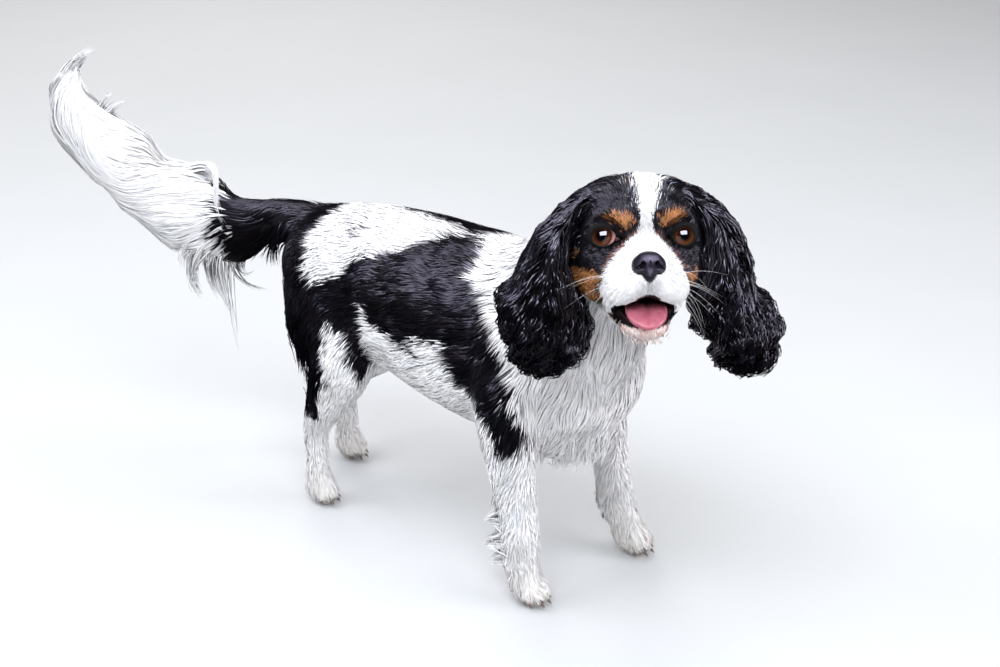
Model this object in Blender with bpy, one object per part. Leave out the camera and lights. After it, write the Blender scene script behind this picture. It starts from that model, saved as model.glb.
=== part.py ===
"""A life-size still model of a standing cavalier King Charles spaniel, tricolour, head turned to its right.

Units are metres and +Z is up. The dog faces -Y and its left side is +X. The ground is z = 0. Every outline is
that of the coat, not of the bare skin. The flesh is modelled whole from rounded forms, melted together, and then
parted with thin planar cuts into the nodes that a person would name.
"""

import math

import bmesh
import bpy
from mathutils import Euler, Matrix, Vector

# Driving dimensions
WITHERS = 0.308  # height of the back over the ground, coat included
CHEST_HALF_WIDTH = 0.074
HEAD_AT = Vector((-0.0733, -0.2544, 0.373))  # the point midway between the eyes
HEAD_YAW = math.radians(-47)  # towards the dog's right
HEAD_PITCH = math.radians(14.5)  # nose up
TAIL_ROOT = Vector((0, 0.186, 0.262))
TAIL_SWING = math.radians(35)  # towards the dog's right
EYE_RADIUS = 0.0109
EYE_HALF_SPACING = 0.0302
EYE_DEPTH = 0.0095  # the eyeball's centre, behind the point between the eyes
EYE_SPLAY = math.radians(20)
LID_RADIUS = 0.0124
LID_SETBACK = 0.0026  # of the lids' centre behind the eyeball's
SOCKET_PLAY = 1.06  # radius of the socket over that of the eyeball
TOE_PLACES = (-1.1, -0.37, 0.37, 1.1)  # across a paw, in toe spacings

GAP = 0.0004  # between neighbouring pieces
VOXEL = 0.0032  # of the mesh that melts the forms together
AROUND = 20  # points round a loft
FLESH_TRIANGLES = 3400
EAR_TRIANGLES = 220
TAIL_TRIANGLES = 400
NOSE_TRIANGLES = 240
TONGUE_TRIANGLES = 200
FLESH_ROUNDING = 7  # smoothing passes over the melted forms

BLACK_COAT = (0.022, 0.020, 0.023)
WHITE_COAT = (0.80, 0.78, 0.75)
NOSE_BLACK = (0.020, 0.018, 0.020)
TONGUE_PINK = (0.66, 0.20, 0.22)
EYE_BROWN = (0.075, 0.028, 0.010)
COAT_ROUGHNESS = 0.75
EAR_ROUGHNESS = 0.6
TAIL_ROUGHNESS = 0.7

HEAD = Matrix.Translation(HEAD_AT) @ Euler((-HEAD_PITCH, 0, HEAD_YAW)).to_matrix().to_4x4()
# The head's own axes: x to its left, y back, z up. Below, forward is given as a positive number.
HEAD_LEVEL = Matrix.Translation(HEAD_AT) @ Euler((0, 0, HEAD_YAW)).to_matrix().to_4x4()


def in_head(left, forward, up):
    return HEAD @ Vector((left, -forward, up))


def beside_head(left, forward, up):
    """A point by the head that hangs: turned with the head, but not pitched."""
    return HEAD_LEVEL @ Vector((left, -forward, up))


# Meshes from forms


def mesh_of(name, shape):
    mesh = bpy.data.meshes.new(name)
    shape.to_mesh(mesh)
    shape.free()
    return mesh


def ellipsoid(centre, radii, turn=None, detail=3):
    """A bmesh ellipsoid. turn is the matrix that its radii follow."""
    shape = bmesh.new()
    bmesh.ops.create_icosphere(shape, subdivisions=detail, radius=1.0)
    turned = turn.to_3x3().to_4x4() if turn else Matrix.Identity(4)
    place = Matrix.Translation(centre) @ turned @ Matrix.Diagonal((*radii, 1.0))
    bmesh.ops.transform(shape, matrix=place, verts=shape.verts)
    return shape


def head_ellipsoid(left, forward, up, radii, detail=3):
    return ellipsoid(in_head(left, forward, up), radii, HEAD, detail)


def between(a, b, c, d, t):
    """Catmull-Rom interpolation from b to c."""
    return 0.5 * (2 * b + (c - a) * t + (2 * a - 5 * b + 4 * c - d) * t * t + (3 * b - a - 3 * c + d) * t**3)


def refined(stations, steps):
    """More stations on the smooth curve through these. A station is (point, half width, half height)."""
    rows = [(Vector(point), Vector((wide, high, 0))) for point, wide, high in stations]
    ends = [rows[0], *rows, rows[-1]]
    found = []
    for i in range(len(rows) - 1):
        for step in range(steps):
            t = step / steps
            found.append(tuple(between(*(ends[i + k][part] for k in range(4)), t) for part in (0, 1)))
    return [*found, rows[-1]]


def loft(stations, steps=3, side=None, around=AROUND):
    """A closed tube of elliptical rings along the stations. side is the direction of each ring's half width."""
    rows = refined(stations, steps)
    shape = bmesh.new()
    rings = []
    for i, (point, sizes) in enumerate(rows):
        along = (rows[min(i + 1, len(rows) - 1)][0] - rows[max(i - 1, 0)][0]).normalized()
        across = Vector(side) if side else along.cross(Vector((0, 0, 1)))
        across = (across - along * across.dot(along)).normalized()
        upward = across.cross(along)
        turns = [math.tau * k / around for k in range(around)]
        rings.append(
            [
                shape.verts.new(point + across * sizes.x * math.cos(a) + upward * sizes.y * math.sin(a))
                for a in turns
            ]
        )
    for ring, following in zip(rings, rings[1:]):
        for k in range(around):
            after = (k + 1) % around
            shape.faces.new((ring[k], ring[after], following[after], following[k]))
    shape.faces.new(rings[0][::-1])
    shape.faces.new(rings[-1])
    bmesh.ops.recalc_face_normals(shape, faces=shape.faces)
    return shape


def box(low, high, place=None):
    """A closed box between two corners, in the axes of place."""
    shape = bmesh.new()
    bmesh.ops.create_cube(shape, size=1.0)
    low, high = Vector(low), Vector(high)
    size = Matrix.Diagonal((*(high - low), 1.0))
    matrix = (place or Matrix.Identity(4)) @ Matrix.Translation((low + high) / 2) @ size
    bmesh.ops.transform(shape, matrix=matrix, verts=shape.verts)
    return shape


def combined(name, shapes):
    """One mesh that holds several closed shapes, overlapping where they meet."""
    whole = bmesh.new()
    for shape in shapes:
        piece = mesh_of("piece", shape)
        whole.from_mesh(piece)
        bpy.data.meshes.remove(piece)
    return mesh_of(name, whole)


# Objects


def linked(name, mesh):
    made = bpy.data.objects.new(name, mesh)
    bpy.context.scene.collection.objects.link(made)
    return made


def applied(made):
    """Bakes an object's modifiers into its mesh."""
    bpy.context.view_layer.update()
    graph = bpy.context.evaluated_depsgraph_get()
    mesh = bpy.data.meshes.new_from_object(made.evaluated_get(graph), depsgraph=graph)
    made.modifiers.clear()
    made.data = mesh
    return made


def melted(name, shapes, rounding, voxel=VOXEL):
    """The union of the shapes as one even skin, with its creases rounded."""
    made = linked(name, combined(name, shapes))
    remesh = made.modifiers.new("melt", "REMESH")
    remesh.mode = "VOXEL"
    remesh.voxel_size = voxel
    if rounding:
        smooth = made.modifiers.new("round", "SMOOTH")
        smooth.factor = 0.5
        smooth.iterations = rounding
    return applied(made)


def thinned(made, triangles):
    """Fewer, larger faces, kept small where the form turns sharply."""
    faces = sum(len(face.vertices) - 2 for face in made.data.polygons)
    decimate = made.modifiers.new("thin", "DECIMATE")
    decimate.ratio = min(1.0, triangles / faces)
    decimate.use_collapse_triangulate = True
    return applied(made)


def carved(made, cutter, operation):
    """A Boolean with a bmesh cutter, which is used up."""
    tool = linked("tool", mesh_of("tool", cutter))
    tool.hide_render = True
    cut = made.modifiers.new("cut", "BOOLEAN")
    cut.operation = operation
    cut.object = tool
    applied(made)
    bpy.data.objects.remove(tool)
    return made


def copied(made, name):
    return linked(name, made.data.copy())


def swollen(made, by):
    """A bmesh of the object's mesh, pushed out by this much, to cut a neighbour clear of it."""
    shape = bmesh.new()
    shape.from_mesh(made.data)
    shape.normal_update()
    moves = [vert.normal * by for vert in shape.verts]
    for vert, move in zip(shape.verts, moves):
        vert.co += move
    return shape


def finish(made, colour, roughness):
    material = bpy.data.materials.new(made.name)
    material.use_nodes = True
    shader = material.node_tree.nodes["Principled BSDF"]
    shader.inputs["Base Color"].default_value = (*colour, 1.0)
    shader.inputs["Roughness"].default_value = roughness
    shader.inputs["Metallic"].default_value = 0.0
    made.data.materials.clear()
    made.data.materials.append(material)
    made.data.shade_smooth()
    return made


# The forms of the body


def trunk_forms():
    """The barrel of the body from forechest to buttocks, with the withers and the feathered brisket."""
    wide = CHEST_HALF_WIDTH
    barrel = [
        ((0, -0.190, 0.206), 0.022, 0.024),
        ((0, -0.176, 0.206), 0.049, 0.048),
        ((0, -0.150, 0.208), 0.066, 0.066),
        ((0, -0.110, 0.212), wide * 0.96, 0.087),
        ((0, -0.060, WITHERS - 0.092), wide, 0.092),
        ((0, 0.000, WITHERS - 0.088), wide, 0.088),
        ((0, 0.050, WITHERS - 0.081), wide * 0.93, 0.081),
        ((0, 0.100, WITHERS - 0.076), wide * 0.86, 0.071),
        ((0, 0.150, WITHERS - 0.078), wide * 0.84, 0.062),
        ((0, 0.185, WITHERS - 0.086), wide * 0.68, 0.050),
        ((0, 0.205, WITHERS - 0.092), wide * 0.35, 0.030),
    ]
    brisket = ellipsoid((0, -0.118, 0.157), (0.040, 0.052, 0.043))
    return [loft(barrel, side=(1, 0, 0)), brisket]


def neck_forms():
    arch = [
        ((0.000, -0.060, 0.232), 0.056, 0.066),
        ((-0.006, -0.115, 0.266), 0.056, 0.062),
        ((-0.018, -0.160, 0.302), 0.051, 0.054),
        ((-0.026, -0.192, 0.334), 0.045, 0.048),
        ((-0.034, -0.212, 0.356), 0.034, 0.036),
    ]
    ruff = ellipsoid((-0.020, -0.182, 0.262), (0.046, 0.034, 0.056))
    return [loft(arch), ruff]


def foreleg_forms(side, elbow, wrist, paw):
    """Shoulder, forearm and paw. side is +1 on the left."""
    elbow, wrist, paw = Vector(elbow), Vector(wrist), Vector(paw)
    arm = [
        (elbow + Vector((-0.006 * side, 0.004, 0.050)), 0.026, 0.040),
        (elbow, 0.024, 0.031),
        (elbow.lerp(wrist, 0.5), 0.0205, 0.0235),
        (wrist, 0.0175, 0.0195),
        (paw + Vector((0, 0.008, 0.012)), 0.0170, 0.0185),
    ]
    shoulder = ellipsoid(elbow + Vector((-0.013 * side, 0.002, 0.060)), (0.026, 0.042, 0.062))
    cuff = ellipsoid(wrist + Vector((0, 0.019, -0.009)), (0.011, 0.017, 0.028))
    sole = ellipsoid(paw, (0.0190, 0.0240, 0.0185))
    toes = [
        ellipsoid(paw + Vector((0.0105 * step, -0.0140 + 0.0035 * step * step, -0.003)), (0.0072, 0.0120, 0.0125))
        for step in TOE_PLACES
    ]
    return [loft(arm, side=(1, 0, 0)), shoulder, cuff, sole, *toes]


def hindleg_forms(side, hip, stifle, hock, paw):
    """Thigh, second thigh, hock and paw. side is +1 on the left."""
    hip, stifle, hock, paw = Vector(hip), Vector(stifle), Vector(hock), Vector(paw)
    upper = [
        (hip, 0.029, 0.056),
        (hip.lerp(stifle, 0.5), 0.030, 0.052),
        (stifle, 0.026, 0.040),
        (stifle.lerp(hock, 0.5), 0.0220, 0.0270),
        (hock, 0.0150, 0.0160),
    ]
    lower = [
        (hock + Vector((0, 0.002, 0.010)), 0.0140, 0.0150),
        (hock.lerp(paw, 0.5), 0.0140, 0.0145),
        (paw + Vector((0, 0.005, 0.010)), 0.0150, 0.0155),
    ]
    breeching = ellipsoid(hip + Vector((0, 0.032, -0.035)), (0.022, 0.026, 0.052))
    spur = ellipsoid(hock + Vector((0, 0.012, -0.012)), (0.007, 0.008, 0.020))
    sole = ellipsoid(paw, (0.0175, 0.0220, 0.0175))
    toes = [
        ellipsoid(paw + Vector((0.0098 * step, -0.0135 + 0.0035 * step * step, -0.003)), (0.0068, 0.0110, 0.0118))
        for step in TOE_PLACES
    ]
    return [loft(upper, side=(1, 0, 0)), loft(lower, side=(1, 0, 0)), breeching, spur, sole, *toes]


def head_forms():
    """Skull, brows, cheeks, muzzle, lips, chin and throat."""
    forms = [
        head_ellipsoid(0, -0.044, 0.0050, (0.0500, 0.0500, 0.0435)),
        head_ellipsoid(0, -0.020, -0.0190, (0.0440, 0.0330, 0.0300)),
        head_ellipsoid(0, 0.016, -0.0240, (0.0220, 0.0300, 0.0190)),
        head_ellipsoid(0, -0.014, -0.0560, (0.0300, 0.0380, 0.0170)),
        head_ellipsoid(0, 0.008, -0.0655, (0.0200, 0.0240, 0.0110)),
        head_ellipsoid(0, -0.055, -0.0400, (0.0400, 0.0380, 0.0380)),
    ]
    for side in (-1, 1):
        forms += [
            head_ellipsoid(side * 0.0200, -0.005, 0.0170, (0.0180, 0.0130, 0.0110)),
            head_ellipsoid(side * 0.0350, -0.026, -0.0260, (0.0160, 0.0260, 0.0220)),
            head_ellipsoid(side * 0.0160, 0.020, -0.0350, (0.0185, 0.0230, 0.0165)),
            ellipsoid(eye_centre(side) - gaze(side) * LID_SETBACK, (LID_RADIUS,) * 3),
        ]
    return forms


def mouth_wedge():
    """The opening between the lips, from the corners of the mouth forwards."""
    profile = [(-0.0135, -0.0515), (0.080, -0.0390), (0.080, -0.0820), (0.028, -0.0650)]
    half_width = 0.0240
    shape = bmesh.new()
    left, right = ([shape.verts.new(in_head(x, *at)) for at in profile] for x in (half_width, -half_width))
    shape.faces.new(left)
    shape.faces.new(right[::-1])
    for k in range(len(profile)):
        after = (k + 1) % len(profile)
        shape.faces.new((left[k], right[k], right[after], left[after]))
    bmesh.ops.recalc_face_normals(shape, faces=shape.faces)
    return shape


def eye_centre(side):
    return in_head(side * EYE_HALF_SPACING, -EYE_DEPTH, 0)


def gaze(side):
    """The way that an eye faces: forwards, and out by EYE_SPLAY."""
    ahead = in_head(side * math.sin(EYE_SPLAY), math.cos(EYE_SPLAY), 0)
    return ahead - in_head(0, 0, 0)


# The nodes


def flesh():
    """The whole dog but for its ears, tail, eyes, nose and tongue, on feet with flat soles."""
    forms = trunk_forms() + neck_forms() + head_forms()
    forms += foreleg_forms(-1, (-0.062, -0.108, 0.160), (-0.057, -0.122, 0.062), (-0.055, -0.127, 0.0160))
    forms += foreleg_forms(1, (0.064, -0.106, 0.160), (0.071, -0.124, 0.062), (0.077, -0.139, 0.0160))
    forms += hindleg_forms(
        -1, (-0.036, 0.132, 0.225), (-0.044, 0.108, 0.160), (-0.043, 0.148, 0.080), (-0.042, 0.146, 0.0155)
    )
    forms += hindleg_forms(
        1, (0.036, 0.134, 0.225), (0.046, 0.118, 0.165), (0.044, 0.200, 0.086), (0.044, 0.194, 0.0155)
    )
    body = melted("flesh", forms, FLESH_ROUNDING)
    thinned(body, FLESH_TRIANGLES)
    carved(body, mouth_wedge(), "DIFFERENCE")
    for side in (-1, 1):
        socket = ellipsoid(eye_centre(side), (EYE_RADIUS * SOCKET_PLAY,) * 3, detail=2)
        carved(body, socket, "DIFFERENCE")
    carved(body, box((-1, -1, -0.1), (1, 1, 0)), "DIFFERENCE")
    return body


def parted(body):
    """Cuts the flesh into its named lengths. Each cut takes one node off what is left."""
    far = 0.5
    level = Matrix.Identity(4)
    jaw = HEAD @ Matrix.Translation((0, 0, -0.0535))
    throat = HEAD @ Matrix.Translation((0, 0.052, 0)) @ Matrix.Rotation(math.radians(-32), 4, "X")
    withers = Matrix.Translation((0, -0.128, 0.255)) @ Matrix.Rotation(math.radians(-42), 4, "X")
    cuts = [
        ("lower_jaw", (-0.06, -0.10, -0.05), (0.06, 0.019, 0), jaw, WHITE_COAT),
        ("head", (-0.12, -far, -0.12), (0.12, 0, 0.12), throat, BLACK_COAT),
        ("neck", (-0.12, -far, -0.06), (0.12, 0, 0.20), withers, WHITE_COAT),
    ]
    for side, word in ((-1, "right"), (1, "left")):
        near, wide = sorted((side * GAP / 2, side * far))
        cuts += [
            (f"forepaw_{word}", (near, -far, -0.01), (wide, -0.03, 0.045), level, WHITE_COAT),
            (f"hindpaw_{word}", (near, 0.04, -0.01), (wide, far, 0.038), level, WHITE_COAT),
            (f"hock_{word}", (near, 0.04, -0.01), (wide, far, 0.092), level, WHITE_COAT),
            (f"second_thigh_{word}", (near, 0.070, -0.01), (wide, far, 0.146), level, WHITE_COAT),
        ]
        near, wide = sorted((side * 0.010, side * far))
        cuts.append((f"thigh_{word}", (near, 0.070, -0.01), (wide, far, 0.226), level, BLACK_COAT))
        near, wide = sorted((side * 0.037, side * far))
        cuts.append((f"forearm_{word}", (near, -far, -0.01), (wide, -0.066, 0.150), level, WHITE_COAT))
        near, wide = sorted((side * 0.052, side * far))
        cuts.append((f"shoulder_{word}", (near, -0.17, 0.10), (wide, -0.062, 0.240), level, BLACK_COAT))
    cuts += [
        ("chest", (-far, -far, -0.01), (far, -0.020, far), level, WHITE_COAT),
        ("loin", (-far, -far, -0.01), (far, 0.080, far), level, BLACK_COAT),
    ]
    nodes = {}
    margin = Vector((GAP, GAP, GAP))
    for name, low, high, place, colour in cuts:
        node = carved(copied(body, name), box(low, high, place), "INTERSECT")
        carved(body, box(Vector(low) - margin, Vector(high) + margin, place), "DIFFERENCE")
        nodes[name] = finish(node, colour, COAT_ROUGHNESS)
    body.name = "rump"
    nodes["rump"] = finish(body, BLACK_COAT, COAT_ROUGHNESS)
    return nodes


def ear(side, word, lobe):
    """A hanging ear, from its fold at the side of the skull to the tips of its long hair."""
    stations = [
        (beside_head(side * out, forward, up), thick, wide) for out, forward, up, thick, wide in lobe
    ]
    fore_and_aft = beside_head(0, -1, 0) - beside_head(0, 0, 0)
    sideways = Vector((0, 0, 1)).cross(fore_and_aft)
    return melted(f"ear_{word}", [loft(stations, side=sideways)], 3)


def ears(skull_side):
    """Both ears, cut clear of the head, neck and shoulders, and each parted below its leather."""
    right = [
        (0.030, -0.034, 0.024, 0.010, 0.016),
        (0.050, -0.034, 0.017, 0.013, 0.025),
        (0.062, -0.032, -0.001, 0.016, 0.031),
        (0.067, -0.030, -0.021, 0.020, 0.034),
        (0.071, -0.029, -0.044, 0.029, 0.036),
        (0.073, -0.028, -0.066, 0.035, 0.037),
        (0.071, -0.028, -0.088, 0.034, 0.035),
        (0.070, -0.028, -0.108, 0.026, 0.026),
        (0.067, -0.028, -0.121, 0.011, 0.011),
    ]
    left = [
        (0.030, -0.034, 0.024, 0.010, 0.016),
        (0.049, -0.034, 0.017, 0.013, 0.025),
        (0.061, -0.032, -0.001, 0.016, 0.031),
        (0.066, -0.030, -0.021, 0.018, 0.034),
        (0.068, -0.029, -0.044, 0.025, 0.036),
        (0.073, -0.027, -0.066, 0.031, 0.036),
        (0.081, -0.026, -0.086, 0.031, 0.034),
        (0.088, -0.025, -0.106, 0.024, 0.024),
        (0.090, -0.025, -0.119, 0.010, 0.010),
    ]
    made = {}
    for side, word, lobe in ((-1, "right", right), (1, "left", left)):
        whole = thinned(ear(side, word, lobe), EAR_TRIANGLES)
        for neighbour in skull_side:
            carved(whole, swollen(neighbour, GAP), "DIFFERENCE")
        below = HEAD_AT.z - 0.040
        feather = copied(whole, f"ear_feather_{word}")
        carved(feather, box((-1, -1, 0), (1, 1, below)), "INTERSECT")
        carved(whole, box((-1, -1, 0), (1, 1, below + GAP)), "DIFFERENCE")
        made[whole.name] = finish(whole, BLACK_COAT, EAR_ROUGHNESS)
        made[feather.name] = finish(feather, BLACK_COAT, EAR_ROUGHNESS)
    return made


def along_tail(run, up, aside=0.0):
    """A point of the tail, from its root: back along its swing, up, and aside from the swing to the left."""
    back = Vector((-math.sin(TAIL_SWING), math.cos(TAIL_SWING), 0))
    return TAIL_ROOT + back * run + Vector((back.y, -back.x, 0)) * aside + Vector((0, 0, up))


def tail():
    """Root, middle and plume, swung to the right, its tip carried up."""
    stations = [
        (along_tail(-0.020, 0.006), 0.018, 0.019),
        (along_tail(0.014, 0.008), 0.017, 0.018),
        (along_tail(0.040, 0.005), 0.018, 0.022),
        (along_tail(0.070, -0.005), 0.022, 0.036),
        (along_tail(0.094, -0.004), 0.026, 0.045),
        (along_tail(0.120, 0.010), 0.028, 0.046),
        (along_tail(0.145, 0.030), 0.028, 0.038),
        (along_tail(0.172, 0.050), 0.027, 0.036),
        (along_tail(0.200, 0.074), 0.026, 0.033),
        (along_tail(0.222, 0.101), 0.023, 0.027),
        (along_tail(0.228, 0.127), 0.017, 0.019),
        (along_tail(0.216, 0.147), 0.010, 0.011),
        (along_tail(0.199, 0.161), 0.004, 0.004),
    ]
    across = along_tail(0, 0, 1) - along_tail(0, 0)
    return melted("tail_root", [loft(stations, side=across)], 2)


def tail_nodes(rump_side):
    whole = thinned(tail(), TAIL_TRIANGLES)
    for neighbour in rump_side:
        carved(whole, swollen(neighbour, GAP), "DIFFERENCE")
    swing = Matrix.Translation(TAIL_ROOT) @ Matrix.Rotation(TAIL_SWING, 4, "Z")
    made = {}
    for name, start, colour in (("tail_plume", 0.185, WHITE_COAT), ("tail_middle", 0.088, WHITE_COAT)):
        node = copied(whole, name)
        carved(node, box((-0.2, start, -0.3), (0.2, 0.6, 0.3), swing), "INTERSECT")
        carved(whole, box((-0.2, start - GAP, -0.3), (0.2, 0.6, 0.3), swing), "DIFFERENCE")
        made[name] = finish(node, colour, TAIL_ROUGHNESS)
    made["tail_root"] = finish(whole, BLACK_COAT, TAIL_ROUGHNESS)
    return made


def eyes():
    for side, word in ((-1, "right"), (1, "left")):
        ball = linked(f"eye_{word}", mesh_of("eye", ellipsoid(eye_centre(side), (EYE_RADIUS,) * 3, detail=2)))
        finish(ball, EYE_BROWN, 0.08)


def nose(head):
    """The leather of the nose, set in the front of the muzzle."""
    pad = melted(
        "nose",
        [
            head_ellipsoid(0, 0.0420, -0.0155, (0.0120, 0.0080, 0.0095)),
            head_ellipsoid(0, 0.0430, -0.0230, (0.0060, 0.0070, 0.0090)),
            *(head_ellipsoid(side * 0.0075, 0.0415, -0.0185, (0.0062, 0.0078, 0.0070)) for side in (-1, 1)),
        ],
        2,
        0.0012,
    )
    thinned(pad, NOSE_TRIANGLES)
    finish(carved(pad, swollen(head, GAP), "DIFFERENCE"), NOSE_BLACK, 0.4)


def tongue(head, jaw):
    """The tongue, lying in the lower jaw and reaching the lip."""
    blade = [
        (in_head(0, -0.008, -0.0570), 0.0120, 0.0040),
        (in_head(0, 0.008, -0.0565), 0.0155, 0.0042),
        (in_head(0, 0.020, -0.0580), 0.0160, 0.0040),
        (in_head(0, 0.030, -0.0620), 0.0140, 0.0034),
        (in_head(0, 0.036, -0.0665), 0.0080, 0.0024),
    ]
    across = in_head(1, 0, 0) - in_head(0, 0, 0)
    made = melted("tongue", [loft(blade, side=across)], 2, 0.0014)
    thinned(made, TONGUE_TRIANGLES)
    for neighbour in (head, jaw):
        carved(made, swollen(neighbour, GAP), "DIFFERENCE")
    finish(made, TONGUE_PINK, 0.25)


def centre_on_ground():
    """Moves the finished dog so that the origin is on the ground, under the middle of its box."""
    made = list(bpy.context.scene.objects)
    points = [vert.co for piece in made for vert in piece.data.vertices]
    middle = [(min(p[axis] for p in points) + max(p[axis] for p in points)) / 2 for axis in (0, 1)]
    for piece in made:
        piece.data.transform(Matrix.Translation((-middle[0], -middle[1], 0)))


def main():
    for old in list(bpy.data.objects):
        bpy.data.objects.remove(old)
    nodes = parted(flesh())
    ears([nodes[name] for name in ("head", "neck", "shoulder_right", "shoulder_left", "chest")])
    tail_nodes([nodes["rump"]])
    eyes()
    nose(nodes["head"])
    tongue(nodes["head"], nodes["lower_jaw"])
    centre_on_ground()


main()
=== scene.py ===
"""A standing tricolour spaniel: skin, coat, eyes, nose, tongue, claws and whiskers over the solids."""

import math

import bpy
import numpy as np
import openvdb as vdb
from mathutils import Euler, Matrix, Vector
from mathutils.kdtree import KDTree


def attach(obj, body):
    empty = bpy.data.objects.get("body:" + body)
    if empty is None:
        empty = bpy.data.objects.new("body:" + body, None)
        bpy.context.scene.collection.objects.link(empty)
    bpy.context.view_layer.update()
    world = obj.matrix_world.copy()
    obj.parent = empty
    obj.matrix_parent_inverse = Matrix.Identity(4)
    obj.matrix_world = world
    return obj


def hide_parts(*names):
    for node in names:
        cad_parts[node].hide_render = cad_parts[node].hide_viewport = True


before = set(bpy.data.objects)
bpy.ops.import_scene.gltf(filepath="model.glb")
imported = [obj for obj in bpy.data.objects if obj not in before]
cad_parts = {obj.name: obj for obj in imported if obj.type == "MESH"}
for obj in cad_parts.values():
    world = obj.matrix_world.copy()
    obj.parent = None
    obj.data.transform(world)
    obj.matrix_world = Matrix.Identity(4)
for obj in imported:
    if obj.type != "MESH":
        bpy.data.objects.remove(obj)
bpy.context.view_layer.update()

# ---------------------------------------------------------------- sizes, in metres and degrees
# The dog is worked out in its own frame (it faces -Y, its left is +X) and set down in the row frame.
STAND = np.array((0.02798, -0.0329, 0.0))

HEAD_AT = np.array((-0.0733, -0.2544, 0.373))
HEAD_YAW = math.radians(-47)
HEAD_PITCH = math.radians(14.5)
HEAD_TURN = np.array(Euler((-HEAD_PITCH, 0, HEAD_YAW)).to_matrix())
LEVEL_TURN = np.array(Euler((0, 0, HEAD_YAW)).to_matrix())

EYE_RADIUS = 0.0109
EYE_HALF_SPACING = 0.0302
EYE_DEPTH = 0.0095
EYE_SPLAY = math.radians(20)

TAIL_SWING = math.radians(35)

BODY_STEP = 0.0032
HEAD_STEP = 0.00122
NOSE_STEP = 0.0005

RIGHT, LEFT = -1, 1


def in_head(left, forward, up):
    """A point of the turned and lifted head, in the dog's frame."""
    return HEAD_AT + HEAD_TURN @ np.array((left, -forward, up))


def head_way(left, forward, up):
    """A direction given in the head, in the dog's frame."""
    return HEAD_TURN @ np.array((left, -forward, up))


def to_head(points):
    """Points of the dog's frame as left, forward and up in the head."""
    local = (points - HEAD_AT) @ HEAD_TURN
    return local * np.array((1, -1, 1))


def head_to_dog(h):
    """Points given as left, forward and up in the head, in the dog's frame."""
    return HEAD_AT + (h * np.array((1, -1, 1))) @ HEAD_TURN.T


def beside_head(out, forward, up):
    """A point beside the head, which hangs plumb whatever the head's tilt."""
    return HEAD_AT + LEVEL_TURN @ np.array((out, -forward, up))


TAIL_ROOT = np.array((0.0, 0.186, 0.262))
TAIL_BACK = np.array((-math.sin(TAIL_SWING), math.cos(TAIL_SWING), 0.0))
TAIL_SIDE = np.array((math.cos(TAIL_SWING), math.sin(TAIL_SWING), 0.0))


def along_tail(run, up, aside=0.0):
    """A point of the tail: so far back from its root, so high, so far to its left."""
    return TAIL_ROOT + TAIL_BACK * run + TAIL_SIDE * aside + np.array((0, 0, up))


# ---------------------------------------------------------------- small tools
def unit(v):
    """Vectors scaled to length 1."""
    return v / np.maximum(np.linalg.norm(v, axis=-1, keepdims=True), 1e-12)


def ease(low, high, x):
    """0 below low, 1 above high, with a smooth rise between them."""
    t = np.clip((x - low) / (high - low), 0, 1)
    return t * t * (3 - 2 * t)


def mix(a, b, t):
    return a + (b - a) * t


def ripple(points, size, seed, waves=7):
    """Smooth, seeded unevenness from about -1 to 1, with features about size across."""
    rng = np.random.default_rng(seed)
    ways = unit(rng.normal(size=(waves, 3))) * (2 * math.pi / size) * rng.uniform(0.6, 1.5, (waves, 1))
    return np.sin(points @ ways.T + rng.uniform(0, 2 * math.pi, waves)).sum(1) / math.sqrt(waves)


def soft_join(a, b, blend):
    """Union of two distance fields with a fillet about blend wide."""
    h = np.maximum(blend - np.abs(a - b), 0) / blend
    return np.minimum(a, b) - h * h * blend * 0.25


def soft_cut(a, b, blend):
    """Field a with b taken out of it."""
    return -soft_join(-a, b, blend)


def ball(p, centre, radii):
    """Distance to an ellipsoid, near enough close to its surface."""
    q = (p - np.array(centre)) / np.array(radii)
    k0 = np.linalg.norm(q, axis=-1)
    k1 = np.linalg.norm(q / np.array(radii), axis=-1)
    return k0 * (k0 - 1) / np.maximum(k1, 1e-9)


def rod(p, a, b, radius_a, radius_b):
    """Distance to a round tapered rod from a to b."""
    a, b = np.array(a), np.array(b)
    t = np.clip(((p - a) @ (b - a)) / ((b - a) @ (b - a)), 0, 1)
    return np.linalg.norm(p - a - t[..., None] * (b - a), axis=-1) - mix(radius_a, radius_b, t)


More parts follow.
